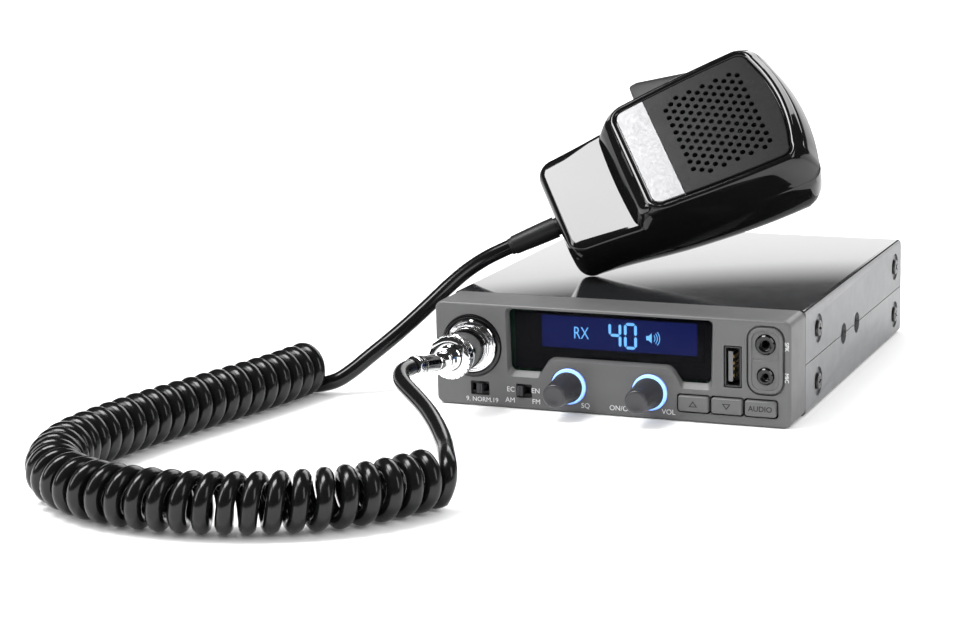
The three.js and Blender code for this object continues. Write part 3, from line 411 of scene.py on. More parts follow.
finishes = {
    "panel": surfaceFinish("panelPlastic", (0.088, 0.088, 0.089), 0.42, grain=(5200, 0.30, 0.04),
                           marks=0.15),
    "lid": lidPaint(),
    "lowerCover": coverPaint(),
    "casting": castMetal(),
    "circuit": circuitBoard(),
    "glossBlack": surfaceFinish("glossBlackPlastic", (0.004, 0.004, 0.0043), 0.055,
                                grain=(420, 0.02, 0.02), marks=0.4),
    "softBlack": surfaceFinish("softBlackPlastic", (0.011, 0.011, 0.0115), 0.42, grain=(3400, 0.35, 0.04),
                               Specular_IOR_Level=0.3),
    "grille": surfaceFinish("grillePlastic", (0.009, 0.009, 0.0093), 0.27, grain=(6000, 0.30, 0.03),
                            Specular_IOR_Level=0.09),
    "knob": surfaceFinish("knobPlastic", (0.030, 0.030, 0.034), 0.30, grain=(3800, 0.25, 0.03)),
    "chrome": platedMetal("chromePlate", (0.84, 0.845, 0.85), 0.05),
    "steel": platedMetal("zincSteel", (0.52, 0.53, 0.54), 0.28),
    "blackSteel": surfaceFinish("blackenedSteel", (0.045, 0.045, 0.047), 0.30, Metallic=0.8),
    "label": brushedMetal("brushedLabel", (0.17, 0.17, 0.173), 0.26, (1, 0.04, 1)),
    "brass": platedMetal("goldContact", (0.80, 0.58, 0.24), 0.25),
    "cord": surfaceFinish("cordJacket", (0.0045, 0.0045, 0.0048), 0.19, grain=(1600, 0.08, 0.02),
                          marks=0.3, Specular_IOR_Level=0.34),
    "mark": surfaceFinish("printedMark", (0.60, 0.60, 0.61), 0.5, mottle=0.04),
    # marks pressed into the keys: their near-black colour is painted shade in the relief
    "darkMark": surfaceFinish("pressedMark", (0.006, 0.006, 0.0063), 0.6, mottle=0.04),
}
print("finishes ready:", len(finishes))


# Mesh building: shapes are worked out in millimetres and written in metres

def newMesh(points, faces):
    mesh = bpy.data.meshes.new("shape")
    mesh.from_pydata([Vector(p) * mm for p in points], [], faces)
    form = bmesh.new()
    form.from_mesh(mesh)
    bmesh.ops.recalc_face_normals(form, faces=form.faces)
    form.to_mesh(mesh)
    form.free()
    return mesh


def addPiece(name, mesh, finish, body, slot, stands=(), bevel=0, segments=2, sharp=38, place=None):
    mesh.name = name
    piece = bpy.data.objects.new(name, mesh)
    scene.collection.objects.link(piece)
    if place is not None:
        mesh.transform(place)
    mesh.materials.clear()
    mesh.materials.append(finishes[finish].material)
    for face in mesh.polygons:
        face.use_smooth = True
    mesh.set_sharp_from_angle(angle=math.radians(sharp))
    if bevel:
        edge = piece.modifiers.new("edge", "BEVEL")
        edge.width = bevel * mm
        edge.segments = segments
        edge.limit_method = "ANGLE"
        edge.angle_limit = math.radians(sharp)
        edge.harden_normals = True
    if body:
        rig.ride(piece, body)
    if slot:
        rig.slot(piece, slot)
    if stands:
        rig.replaces(piece, *stands)
    return piece


# A profile of (distance along y, radius) turned about an axis parallel to y
def turned(centre, profile, sides=64, closed=False):
    x, z = centre
    points, rings, faces = [], [], []
    for y, radius in profile:
        if radius < 1e-6:
            rings.append([len(points)])
            points.append((x, y, z))
            continue
        rings.append(list(range(len(points), len(points) + sides)))
        for k in range(sides):
            turn = 2 * math.pi * k / sides
            points.append((x + radius * math.cos(turn), y, z + radius * math.sin(turn)))
    pairs = list(zip(rings, rings[1:]))
    if closed:
        pairs.append((rings[-1], rings[0]))
    for near, far in pairs:
        for k in range(sides):
            n = (k + 1) % sides
            if len(near) == 1 and len(far) == 1:
                continue
            if len(near) == 1:
                faces.append((near[0], far[k], far[n]))
            elif len(far) == 1:
                faces.append((near[n], near[k], far[0]))
            else:
                faces.append((near[k], near[n], far[n], far[k]))
    return newMesh(points, faces)


# Corners given as (x, z, radius) become one smooth outline
def roundedOutline(corners, steps=7):
    outline = []
    count = len(corners)
    for i, (x, z, radius) in enumerate(corners):
        here = Vector((x, z))
        before = (Vector(corners[i - 1][:2]) - here).normalized()
        after = (Vector(corners[(i + 1) % count][:2]) - here).normalized()
        if radius <= 0:
            outline.append((x, z))
            continue
        half = before.angle(after) / 2
        reach = radius / math.tan(half)
        start, end = here + before * reach, here + after * reach
        centre = here + (before + after).normalized() * (radius / math.sin(half))
        a, b = start - centre, end - centre
        sweep = a.angle_signed(b)
        for k in range(steps + 1):
            turn = -sweep * k / steps
            outline.append(tuple(centre + Vector((
                a.x * math.cos(turn) - a.y * math.sin(turn),
                a.x * math.sin(turn) + a.y * math.cos(turn),
            ))))
    return outline


def roundedBox(x, z, width, height, radius, steps=7):
    a, b = width / 2, height / 2
    return roundedOutline([(x - a, z - b, radius), (x + a, z - b, radius), (x + a, z + b, radius),
                           (x - a, z + b, radius)], steps)


# A closed skin through outlines that match point to point, each given in full 3-D
def lofted(rings):
    count = len(rings[0])
    points = [tuple(p) for ring in rings for p in ring]
    faces = []
    for row in range(len(rings) - 1):
        for k in range(count):
            a, b = row * count + k, row * count + (k + 1) % count
            faces.append((a, b, b + count, a + count))
    faces.append(tuple(range(count)))
    faces.append(tuple(range((len(rings) - 1) * count, len(rings) * count)))
    return newMesh(points, faces)


def prism(outline, y0, y1):
    return lofted([[(x, y, z) for x, z in outline] for y in (y0, y1)])


def slabOf(outline, z0, z1):
    return lofted([[(x, y, z) for x, y in outline] for z in (z0, z1)])


def block(xs, ys, zs):
    return prism([(xs[0], zs[0]), (xs[1], zs[0]), (xs[1], zs[1]), (xs[0], zs[1])], *ys)


def rodMesh(centre, y0, y1, radius, sides=48):
    return turned(centre, [(y0, 0), (y0, radius), (y1, radius), (y1, 0)], sides)


def joined(meshes):
    form = bmesh.new()
    for mesh in meshes:
        form.from_mesh(mesh)
    made = bpy.data.meshes.new("joined")
    form.to_mesh(made)
    form.free()
    return made


# What a holder looks like once its modifiers, or its curves, are worked out
def settled(holder):
    bpy.context.view_layer.update()
    return bpy.data.meshes.new_from_object(holder.evaluated_get(bpy.context.evaluated_depsgraph_get()))


def carved(base, cutters, operation="DIFFERENCE"):
    holder = bpy.data.objects.new("carving", base)
    scene.collection.objects.link(holder)
    tools = []
    for cutter in cutters:
        tool = bpy.data.objects.new("cutter", cutter)
        scene.collection.objects.link(tool)
        cut = holder.modifiers.new("cut", "BOOLEAN")
        cut.operation = operation
        cut.solver = "EXACT"
        cut.object = tool
        tools.append(tool)
    result = settled(holder)
    for spare in [holder, *tools]:
        bpy.data.objects.remove(spare)
    return result


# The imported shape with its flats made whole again, so that its edges can be rounded
def refined(nodeName, finish, body, slot, bevel=0.25, sharp=38):
    form = bmesh.new()
    form.from_mesh(nodes[nodeName].data)
    bmesh.ops.remove_doubles(form, verts=form.verts, dist=2e-6)
    bmesh.ops.dissolve_limit(form, angle_limit=math.radians(1.5), verts=form.verts, edges=form.edges)
    mesh = bpy.data.meshes.new(nodeName)
    form.to_mesh(mesh)
    form.free()
    name = "".join(word.capitalize() if i else word for i, word in enumerate(nodeName.split("_")))
    return addPiece(name, mesh, finish, body, slot, (nodeName,), bevel, 2, sharp)


# Lettering, drawn flat facing the front of the panel
def lettering(name, text, x, z, height, finish, y, body="body", slot="label", depth=0.08, squeeze=1,
              thin=0):
    words = bpy.data.curves.new(name, "FONT")
    words.body = text
    words.size = height * 1.42
    words.extrude = depth / 2
    words.offset = -thin * height
    words.align_x = "CENTER"
    words.align_y = "CENTER"
    words.resolution_u = 4
    holder = bpy.data.objects.new(name, words)
    scene.collection.objects.link(holder)
    mesh = settled(holder)
    bpy.data.objects.remove(holder)
    stand = Matrix.Translation((x, y - depth / 2, z)) @ Matrix.Rotation(math.radians(90), 4, "X")
    mesh.transform(Matrix.Scale(mm, 4) @ stand @ Matrix.Diagonal((squeeze, 1, 1, 1)))
    return addPiece(name, mesh, finish, body, slot, sharp=30)


# Cord: lead from the plug, helix, lead to the microphone, as one tube

cordSizes = {
    "wire": 3.0,
    "helix": 7.55,
    "pitch": 7.2,
    "perTurn": 16,
    "spacing": 1.35,
    "overrun": 3.5,
    "lifts": (0.0315, 0.0515),              # the heights between which it starts to follow the microphone
    "sides": 12,
    "startAngle": 52,
    "plugLead": [
        (-55, -144.9, 27.7), (-55.3, -149.5, 28), (-54.6, -154.5, 27.4), (-51.6, -159.5, 26),
        (-46.5, -164.5, 24.3), (-39, -172, 22.3), (-31, -181.5, 20.4), (-23.5, -192, 18.4),
        (-17, -202.5, 16.2), (-11.6, -212.6, 13.6),
    ],
    "coil": [
        (-11.8, -216, 10.5), (-16.6, -225.5, 10.5), (-25.5, -240.5, 10.5), (-39, -254.5, 10.5),
        (-60, -265.5, 10.5), (-86, -270.5, 10.5), (-114, -267, 10.5), (-137, -252.5, 10.5),
        (-149, -227, 10.5), (-147, -190, 10.5), (-136.5, -146, 10.5), (-128, -112, 10.5),
        (-124.5, -91, 10.5),
    ],
    "micLead": [
        (-120.4, -88.2, 3.2), (-115, -87.4, 4.4), (-108.5, -84, 8.4), (-102, -79.4, 14.2),
        (-95.6, -73.6, 20), (-89.6, -67.2, 26), (-84, -60.4, 32.2), (-78.8, -52.9, 38.4),
        (-73.3, -45.1, 44), (-67, -38.2, 48.4), (-60.8, -33.9, 51.4),
    ],
}


# One smooth line through the points, cut into even steps
def smoothRoute(points, spacing):
    knots = [Vector(p) for p in points]
    knots = [knots[0] * 2 - knots[1], *knots, knots[-1] * 2 - knots[-2]]
    fine = []
    for a, b, c, d in zip(knots, knots[1:], knots[2:], knots[3:]):
        t0 = 0
        t1 = t0 + max((b - a).length, 1e-4) ** 0.5
        t2 = t1 + max((c - b).length, 1e-4) ** 0.5
        t3 = t2 + max((d - c).length, 1e-4) ** 0.5
        steps = max(2, math.ceil((c - b).length / spacing * 3))
        for k in range(steps):
            t = t1 + (t2 - t1) * k / steps
            ab = a.lerp(b, (t - t0) / (t1 - t0))
            bc = b.lerp(c, (t - t1) / (t2 - t1))
            cd = c.lerp(d, (t - t2) / (t3 - t2))
            abc = ab.lerp(bc, (t - t0) / (t2 - t0))
            bcd = bc.lerp(cd, (t - t1) / (t3 - t1))
            fine.append(abc.lerp(bcd, (t - t1) / (t2 - t1)))
    fine.append(knots[-2].copy())
    total = sum((b - a).length for a, b in zip(fine, fine[1:]))
    steps = max(2, round(total / spacing))
    even, walked, target = [fine[0]], 0.0, total / steps
    for a, b in zip(fine, fine[1:]):
        length = (b - a).length
        while walked + length >= target - 1e-9 and len(even) < steps:
            even.append(a.lerp(b, (target - walked) / length))
            target += total / steps
        walked += length
    even.append(fine[-1])
    return even


def cordLine():
    axis = smoothRoute(cordSizes["coil"], 0.6)
    step = (axis[1] - axis[0]).length
    axis = axis[round(2.6 / step):]
    onward = (axis[-1] - axis[-5]).normalized() * step
    axis += [axis[-1] + onward * k for k in range(1, round(cordSizes["overrun"] / step) + 1)]
    span = step * (len(axis) - 1)
    start = math.radians(cordSizes["startAngle"])
    spare = start + math.pi / 2                     # it ends at the bottom of a turn
    turns = round(span / cordSizes["pitch"] - spare / (2 * math.pi)) + spare / (2 * math.pi)
    count = round(turns * cordSizes["perTurn"])
    helix = []
    for k in range(count + 1):
        place = k / count * (len(axis) - 1)
        low = min(int(place), len(axis) - 2)
        centre = axis[low].lerp(axis[low + 1], place - low)
        ahead = axis[min(low + 3, len(axis) - 1)] - axis[max(low - 3, 0)]
        outward = Vector((-ahead.y, ahead.x, 0)).normalized()
        turn = start - 2 * math.pi * turns * k / count
        ring = outward * math.cos(turn) + Vector((0, 0, 1)) * math.sin(turn)
        helix.append(centre + ring * cordSizes["helix"])
    plugSide = smoothRoute(cordSizes["plugLead"][:-1], 4)
    micSide = smoothRoute(cordSizes["micLead"], 4)
    micSide.append(micSide[-1] + (micSide[-1] - micSide[-2]).normalized() * 0.9)
    print(f"coil of {turns:.1f} turns, {span / turns:.2f} mm apart")
    line = smoothRoute([*plugSide, *helix, *micSide[2:]], cordSizes["spacing"])
    # Eased all along a little, and more so where the plug's lead runs into the first turn
    reach = len(plugSide) * 4 / cordSizes["spacing"]
    for first, last, passes in ((0, len(line), 4), (round(reach * 0.55), round(reach) + 24, 36)):
        for _ in range(passes):
            part = line[first:last]
            line[first + 1:last - 1] = [(a + b * 2 + c) / 4 for a, b, c in zip(part, part[1:], part[2:])]
    return line


def tubeMesh(line, radius, sides):
    ahead = (line[1] - line[0]).normalized()
    side = ahead.orthogonal().normalized()
    points, faces = [], []
    for i, here in enumerate(line):
        towards = (line[min(i + 1, len(line) - 1)] - line[max(i - 1, 0)]).normalized()
        side = (side - towards * side.dot(towards)).normalized()
        other = towards.cross(side)
        for k in range(sides):
            turn = 2 * math.pi * k / sides
            points.append(here + (side * math.cos(turn) + other * math.sin(turn)) * radius)
    for i in range(len(line) - 1):
        for k in range(sides):
            a, b = i * sides + k, i * sides + (k + 1) % sides
            faces.append((a, b, b + sides, a + sides))
    faces.append(tuple(range(sides)))
    faces.append(tuple(range((len(line) - 1) * sides, len(line) * sides)))
    return newMesh(points, faces)


def makeCord():
    line = cordLine()
    length = sum((b - a).length for a, b in zip(line, line[1:])) * mm
    mesh = tubeMesh(line, cordSizes["wire"], cordSizes["sides"])
    piece = addPiece("curlyCord", mesh, "cord", None, "cord", sharp=60)
    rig.replaces(piece, "cord_lead_plug", "curly_coil", "cord_lead_mic")
    path = [tuple(point * mm) for point in line]
    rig.blend(piece, "body", "microphone", (-0.067, -0.038, cordSizes["lifts"][0]),
             (-0.067, -0.038, cordSizes["lifts"][1]))
    print(f"cord {length:.3f} m")
    return piece, path, length


# Said once the plug is made, as the plug goes with the cord
def declareCord(piece, path, length, plugPieces):
    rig.cord(piece, exit=path[0], length=length, diameter=2 * cordSizes["wire"] * mm, far_end="object",
            stiffness="medium", lay="loose", path=path, with_pieces=plugPieces)


curlyCord = makeCord()


# Front panel

panel = {
    "front": -87.5,
    "rear": -67.5,
    "width": 140,
    "height": 40,
    "corner": 3,
    "edge": 1.1,
    "wall": 2.4,
    "recessDepth": 2.0,
    "knobX": (-16, 16),
    "knobHeight": 10,
    "haloSeat": 7.2,
    "socket": (-55, 23.4),
    "usb": (48.1, 21.9, 6.3, 15.2),
    "jackPlate": (60.6, 25, 13, 24.6, 4.6),
    "buttons": (33.2, 46.0, 58.8),
    "button": (11.9, 6.0, 1.0),
    "buttonHeight": 7,
    "channelSlot": (-52, 7, 7.6, 5.4),
    "modeSlot": (-34, 7, 6.4, 5.4),
}


def recessOutline(grow):
    low = 12.9 - grow * 2.1
    return roundedOutline([
        (-39.6 - grow, low + 1.6, 2.2), (-27.6 - grow * 0.2, low + 1.6, 1.2),
        (-23.6 - grow * 0.2, 20.6 - grow, 4.6), (24.4 + grow * 0.2, 20.6 - grow, 4.6),
        (28.4 + grow * 0.2, low + 1.6, 1.2), (39.2 + grow, low + 1.6, 2.2),
        (39.8 + grow, 38.3 + grow * 0.4, 1.8), (-40.2 - grow, 38.3 + grow * 0.4, 1.8),
    ])


# A box whose outline shrinks along y, by steps of (inset, y, corner radius)
def steppedBox(x, z, width, height, steps):
    rings = []
    for inset, y, corner in steps:
        outline = roundedBox(x, z, width - 2 * inset, height - 2 * inset, corner)
        rings.append([(px, y, pz) for px, pz in outline])
    return lofted(rings)


def makePanel():
    front, rear, edge, corner = (panel[key] for key in ("front", "rear", "edge", "corner"))
    steps = []
    for k in range(6):
        turn = math.pi / 2 * k / 5
        inset = edge * (1 - math.sin(turn))
        steps.append((inset, front + edge * (1 - math.cos(turn)), corner - inset))
    steps.append((0, rear, corner))
    shell = steppedBox(0, panel["height"] / 2, panel["width"], panel["height"], steps)
    through = (front - 1, front + 5)
    outer, inner = recessOutline(1), recessOutline(0)
    depths = (front - 1, front, front + panel["recessDepth"])
    sloped = [outer, outer, inner]
    cutters = [
        block((-67.6, 67.6), (front + panel["wall"], rear + 1), (2.4, 37.6)),
        lofted([[(x, y, z) for x, z in shape] for y, shape in zip(depths, sloped)]),
        prism(inner, front + 1, front + 5),
        rodMesh(panel["socket"], front - 1, front + 1.6, 12.2, 72),
        rodMesh(panel["socket"], *through, 8.6, 48),
    ]
    for x in panel["knobX"]:
        cutters.append(rodMesh((x, panel["knobHeight"]), front - 1, front + 1, panel["haloSeat"], 64))
        cutters.append(rodMesh((x, panel["knobHeight"]), *through, 3.6, 32))
    wide, tall, corner = panel["button"]
    boxes = [(x, panel["buttonHeight"], wide + 1.2, tall + 1.2, corner + 0.3) for x in panel["buttons"]]
    boxes += [(*panel[slot], 0.5) for slot in ("channelSlot", "modeSlot")]
    x, z, width, height = panel["usb"]
    boxes.append((x, z, width + 0.6, height + 0.6, 0.4))
    cutters += [prism(roundedBox(*box), *through) for box in boxes]
    x, z, width, height, corner = panel["jackPlate"]
    cutters.append(prism(roundedBox(x, z, width + 1.5, height + 1.5, corner + 0.7), front - 1, front + 1.3))
    for jackZ, radius in ((31.1, 3.9), (19.3, 3.4)):
        cutters.append(rodMesh((x, jackZ), *through, radius, 48))
    mesh = carved(shell, cutters)
    addPiece("frontPanel", mesh, "panel", "body", "panel", ("front_bezel",), 0.22, 2, 34)


makePanel()
print("panel carved")


# Display: smoked pane, panel with its lit field, and the lit figures

display = {
    "pane": (-86.3, -85.1),
    "face": -84.8,
    "back": -78.3,
    "lit": (-27.3, 33.8, 24.3, 36.5),
    "field": (-31.8, 36.5, 21.5, 37.0),
    "digit": (4.0, 9.0, 1.05),
    "digits": (-0.2, 5.9),
    "digitBase": 25.8,
}


def litField():
    finish = Finish("litField", Roughness=0.5, Specular_IOR_Level=0.03, Emission_Strength=1)
    spread, _, height = finish.axes()
    left, right, low, high = (value * mm for value in display["lit"])
    inside = (spread > left) * (spread < right) * (height > low) * (height < high)
    glow = finish.noise(26, 2)
    lit = finish.between(glow, (0.005, 0.009, 0.082), (0.008, 0.014, 0.118))
    finish.feed("Emission Color", finish.between(inside, (0.0006, 0.0007, 0.001), lit))
    finish.feed("Base Color", finish.between(inside, (0.0012, 0.0012, 0.0014), (0.002, 0.003, 0.008)))
    finishes["litField"] = finish


def litFigure():
    finish = Finish("litFigure", Roughness=0.4, Emission_Strength=1.25, Base_Color=(0.1, 0.3, 0.6, 1))
    glow = finish.noise(320, 2)
    finish.feed("Emission Color", finish.between(glow, (0.07, 0.33, 0.86), (0.16, 0.50, 1.0)))
    finishes["litFigure"] = finish


def smokedPane():
    finish = Finish("smokedPane", Alpha=0.16, Specular_IOR_Level=0.12)
    dust = finish.noise(700, 4)
    finish.feed("Base Color", finish.between(dust, (0.003, 0.003, 0.004), (0.006, 0.006, 0.008)))
    finish.feed("Roughness", dust * 0.03 + 0.03)
    finishes["smokedPane"] = finish


# Seven strokes, numbered from the top clockwise with the middle one last
def digitMesh(x, base, strokes):
    wide, tall, thick = display["digit"]
    half, gap, point = thick / 2, 0.16, thick / 2
    bars = {
        0: ((0, tall), (wide, tall)), 1: ((wide, tall), (wide, tall / 2)), 2: ((wide, tall / 2), (wide, 0)),
        3: ((0, 0), (wide, 0)), 4: ((0, tall / 2), (0, 0)), 5: ((0, tall), (0, tall / 2)),
        6: ((0, tall / 2), (wide, tall / 2)),
    }
    meshes = []
    for stroke in strokes:
        a, b = (Vector(end) for end in bars[stroke])
        run = (b - a).normalized()
        across = Vector((-run.y, run.x)) * half
        a, b = a + run * (gap + 0.05), b - run * (gap + 0.05)
        outline = [(p.x + x, p.y + base) for p in (
            a, a + run * point + across, b - run * point + across,
            b, b - run * point - across, a + run * point - across)]
        meshes.append(prism(outline, display["face"] - 0.12, display["face"] - 0.02))
    return joined(meshes)


def arcBar(x, z, radius, thick, low, high):
    steps = 10
    turns = [math.radians(low + (high - low) * k / steps) for k in range(steps + 1)]
    outline = [(x + (radius + thick / 2) * math.cos(t), z + (radius + thick / 2) * math.sin(t))
               for t in turns]
    outline += [(x + (radius - thick / 2) * math.cos(t), z + (radius - thick / 2) * math.sin(t))
                for t in reversed(turns)]
    return prism(outline, display["face"] - 0.12, display["face"] - 0.02)


def makeDisplay():
    litField()
    litFigure()
    smokedPane()
    pane = prism(recessOutline(-0.35), *display["pane"])
    addPiece("displayPane", pane, "smokedPane", "body", "glass", ("display_window",), 0.1)
    left, right, low, high = display["field"]
    screen = block((left, right), (display["face"], display["back"]), (low, high))
    backing = block((left - 6.5, right + 2.5), (display["face"] + 0.4, display["face"] + 1.2),
                    (low - 6.2, high + 0.3))
    addPiece("displayScreen", screen, "litField", "body", "lit", ("lcd_panel",), 0.12)
    addPiece("displayBacking", backing, "litField", "body", "lit", (), 0.12)
    base = display["digitBase"]
    addPiece("displayFour", digitMesh(display["digits"][0], base, (1, 2, 5, 6)), "litFigure", "body", "lit")
    addPiece("displayZero", digitMesh(display["digits"][1], base, (0, 1, 2, 3, 4, 5)), "litFigure",
             "body", "lit")
    lettering("displayWord", "RX", -11.6, base + 4.3, 4.7, "litFigure", display["face"] - 0.02,
              slot="lit", depth=0.1, squeeze=0.72, thin=0.012)
    x, z = 15.4, base + 4.2
    cone = [(x - 1.3, z - 0.8), (x - 0.4, z - 0.8), (x + 0.8, z - 1.9), (x + 0.8, z + 1.9),
            (x - 0.4, z + 0.8), (x - 1.3, z + 0.8)]
    icon = joined([
        prism(cone, display["face"] - 0.12, display["face"] - 0.02),
        arcBar(x + 0.2, z, 1.9, 0.26, -38, 38),
        arcBar(x + 0.2, z, 2.8, 0.26, -42, 42),
        arcBar(x + 0.2, z, 3.7, 0.26, -42, 42),
    ])
    addPiece("displaySpeakerIcon", icon, "litFigure", "body", "lit")


makeDisplay()
print("display lit")


# Knobs, their lit rings and shafts

knob = {
    "base": -88.7,
    "tip": -103.7,
    "baseRadius": 5.9,
    "tipRadius": 4.5,
    "shaft": 3.0,
    "cap": 5,
    "ring": (5.5, 6.9, -87.9, -86.8),
}


def haloGlow():
    finish = Finish("haloGlow", Roughness=0.4, Emission_Strength=1.3, Base_Color=(0.4, 0.6, 1, 1))
    spread, _, height = finish.axes()
    height = height - panel["knobHeight"] * mm
    nearest = spread.maths("ABSOLUTE", spread, 0) - panel["knobX"][1] * mm
    radius = (nearest * nearest + height * height) ** 0.5
    share = (radius - knob["ring"][0] * mm) / ((knob["ring"][1] - knob["ring"][0]) * mm)
    stops = [(0, (0.42, 0.74, 1.0)), (0.4, (0.14, 0.42, 1.0)), (1, (0.005, 0.03, 0.32))]
    glow = finish.node("ValToRGB", {"stops": stops}, {0: share})
    finish.feed("Emission Color", glow)
    finishes["haloGlow"] = finish


def makeKnobs():
    haloGlow()
    inner, outer, face, back = knob["ring"]
    base, tip, big, small = knob["base"], knob["tip"], knob["baseRadius"], knob["tipRadius"]
    for x, name, body in ((panel["knobX"][0], "squelch", "squelch_knob_body"),
                          (panel["knobX"][1], "volume", "volume_knob_body")):
        centre = (x, panel["knobHeight"])
        ring = turned(centre, [(face + 0.25, inner), (face, inner + 0.3), (face, outer - 0.3),
                               (face + 0.25, outer), (back, outer), (back, inner)], 72, True)
        addPiece(name + "Ring", ring, "haloGlow", "body", "halo", (name + "_halo",))
        bore = knob["shaft"] + 0.1
        shaftEnd = tip + knob["cap"]
        profile = [
            (tip + 0.25, 0), (tip + 0.12, small - 1.6), (tip, small - 1.1), (tip + 0.05, small - 0.55),
            (tip + 0.4, small - 0.12), (tip + 0.9, small), (base - 1.2, big - 0.12), (base - 0.9, big),
            (base - 0.25, big), (base, big - 0.3), (base, bore), (shaftEnd - 0.3, bore),
            (shaftEnd - 0.3, 0),
        ]
        grip = turned(centre, profile, 72)
        addPiece(name + "Knob", grip, "knob", body, "knob", (name + "_knob",), sharp=50)


makeKnobs()


# Keys and slide switches

def outlineTriangle(x, z, size, thick, upward, y0, y1):
    turn = 90 if upward else -90
    spokes = [math.radians(turn + 120 * k) for k in range(3)]
    outer = [(x + size * 1.25 * math.cos(t), z + size * math.sin(t)) for t in spokes]
    share = 1 - 2 * thick / size
    inner = [(x + size * 1.25 * share * math.cos(t), z + size * share * math.sin(t)) for t in spokes]
    points = [(px, y, pz) for y in (y0, y1) for px, pz in (*outer, *inner)]
    faces = []
    for k in range(3):
        n = (k + 1) % 3
        faces += [(k, n, 3 + n, 3 + k), (6 + k, 9 + k, 9 + n, 6 + n), (k, 6 + k, 6 + n, n),
                  (3 + k, 3 + n, 9 + n, 9 + k)]
    return newMesh(points, faces)


def makeKeys():
    wide, tall, corner = panel["button"]
    front, z = panel["front"], panel["buttonHeight"]
    face = front - 1.3
    names = (("up", "up_key"), ("down", "down_key"), ("audio", "audio_key"))
    for (name, body), x in zip(names, panel["buttons"]):
        steps = ((0.9, face), (0.55, face + 0.05), (0.2, face + 0.3), (0, face + 0.8), (0, front + 3.4))
        steps = [(inset, y, max(0.3, corner - inset * 0.6)) for inset, y in steps]
        stem = block((x - 4.45, x + 4.45), (front + 3.0, -81.99), (z - 1.5, z + 1.5))
        cap = carved(steppedBox(x, z, wide, tall, steps), [stem], "UNION")
        addPiece(name + "Key", cap, "panel", body, "panel", (name + "_button",), 0.08, 2, 34)
        # the arrows and the AUDIO word pressed into the keys take the near-black painted shade
        if name == "audio":
            lettering("audioWord", "AUDIO", x, z - 0.05, 2.0, "darkMark", face + 0.02, body, "panel",
                      0.06, thin=-0.02)
        else:
            mark = outlineTriangle(x, z - (0.3 if name == "up" else -0.3), 1.55, 0.3, name == "up",
                                   face - 0.04, face + 0.02)
            addPiece(name + "Arrow", mark, "darkMark", body, "panel")


def makeSlides():
    front = panel["front"]
    for name, slot, at, body in (("channel", "channelSlot", -52, "channel_lever"),
                                 ("mode", "modeSlot", -35.5, "mode_lever")):
        x, z, width, height = panel[slot]
        stem = block((at - 1.1, at + 1.1), (front + 0.5, -82.1), (z - 1.1, z + 1.1))
        thumb = block((at - 1.1, at + 1.1), (front - 0.8, front + 0.9), (z - 1.9, z + 1.9))
        ribs = [block((at + shift - 0.16, at + shift + 0.16), (front - 1.3, front - 0.5), (z - 3, z + 3))
                for shift in (-0.55, 0, 0.55)]
        thumb = carved(carved(thumb, [stem], "UNION"), ribs)
        addPiece(name + "Thumb", thumb, "knob", body, "soft_black", (name + "_switch_lever",), 0.1)
        lining = roundedBox(x, z, width - 0.1, height - 0.1, 0.5)
        floor = prism(lining, front + 1.5, front + 2.0)
        opening = prism(roundedBox(x, z, width - 0.3, 2.8, 0.2), front + 1, front + 3)
        addPiece(name + "SlotFloor", carved(floor, [opening]), "softBlack", "body", "soft_black", (), 0.08)


makeKeys()
makeSlides()
print("controls made")


# USB socket, jack plate and the two jacks

def makeSideSockets():
    front = panel["front"]
    x, z, width, height = panel["usb"]
    face = front + 0.3
    outer = prism(roundedBox(x, z, width, height, 0.7), face, -78.3)
    inner = prism(roundedBox(x, z, width - 1.2, height - 1.2, 0.35), face - 1, -80)
    springs = [block((x - 3, x + 3), (face + 2.4, face + 4.6),
                     (z + side * 3.6 - 0.9, z + side * 3.6 + 0.9)) for side in (-1, 1)]
    shell = carved(outer, [inner])
    addPiece("usbShell", carved(shell, springs), "blackSteel", "body", "steel", ("usb_socket",), 0.1)
    tongue = block((x - 1.9, x - 0.1), (face + 0.5, -79.6), (z - 5.7, z + 5.7))
    addPiece("usbTongue", tongue, "label", "body", "steel", (), 0.15)
    strips = [block((x - 0.2, x + 0.05), (face + 1.4, -80.2), (z + place - 0.55, z + place + 0.55))
              for place in (-3.5, -1, 1, 3.5)]
    addPiece("usbContacts", joined(strips), "brass", "body", "steel", (), 0.05)

    x, z, width, height, corner = panel["jackPlate"]
    face = front - 0.8
    steps = ((1.5, face + 0.35), (1.25, face), (0.55, face), (0.12, face + 0.25), (0, face + 0.6),
             (0, front + 0.7))
    plate = steppedBox(x, z, width, height, [(inset, y, corner - inset) for inset, y in steps])
    holes = [rodMesh((x, jackZ), face - 1, front + 2, radius + 0.3, 56)
             for jackZ, radius in ((31.1, 3.55), (19.3, 3.0))]
    bridge = [block((x - 4.5, x + 4.5), (face - 1, face + 0.5), (25.0, 25.8))]
    addPiece("jackPlate", carved(plate, [*holes, *bridge]), "panel", "body", "panel", ("jack_plate",), 0.12)
    for name, jackZ, radius, bore in (("speaker", 31.1, 3.55, 1.9), ("headset", 19.3, 3.0, 1.35)):
        lip = front - 1.4
        sleeve = turned((x, jackZ), [
            (lip + 0.35, bore + 0.05), (lip + 0.05, bore + 0.4), (lip, bore + 0.75), (lip, radius - 0.35),
            (lip + 0.35, radius), (-78.3, radius), (-78.3, bore), (-79.5, bore),
        ], 56, True)
        addPiece(name + "Jack", sleeve, "glossBlack", "body", "soft_black", (name + "_jack",))
        spring = turned((x, jackZ), [(lip + 1.2, bore - 0.02), (lip + 1.2, bore - 0.3),
                                     (-79.6, bore - 0.3), (-79.6, bore - 0.02)], 40, True)
        addPiece(name + "JackContact", spring, "blackSteel", "body", "steel")


makeSideSockets()


# Microphone socket and the plug on the cord

plug = {
    "axis": (-55, 23.4),
    "tilt": 8,
    "tailStart": -114.0,
}


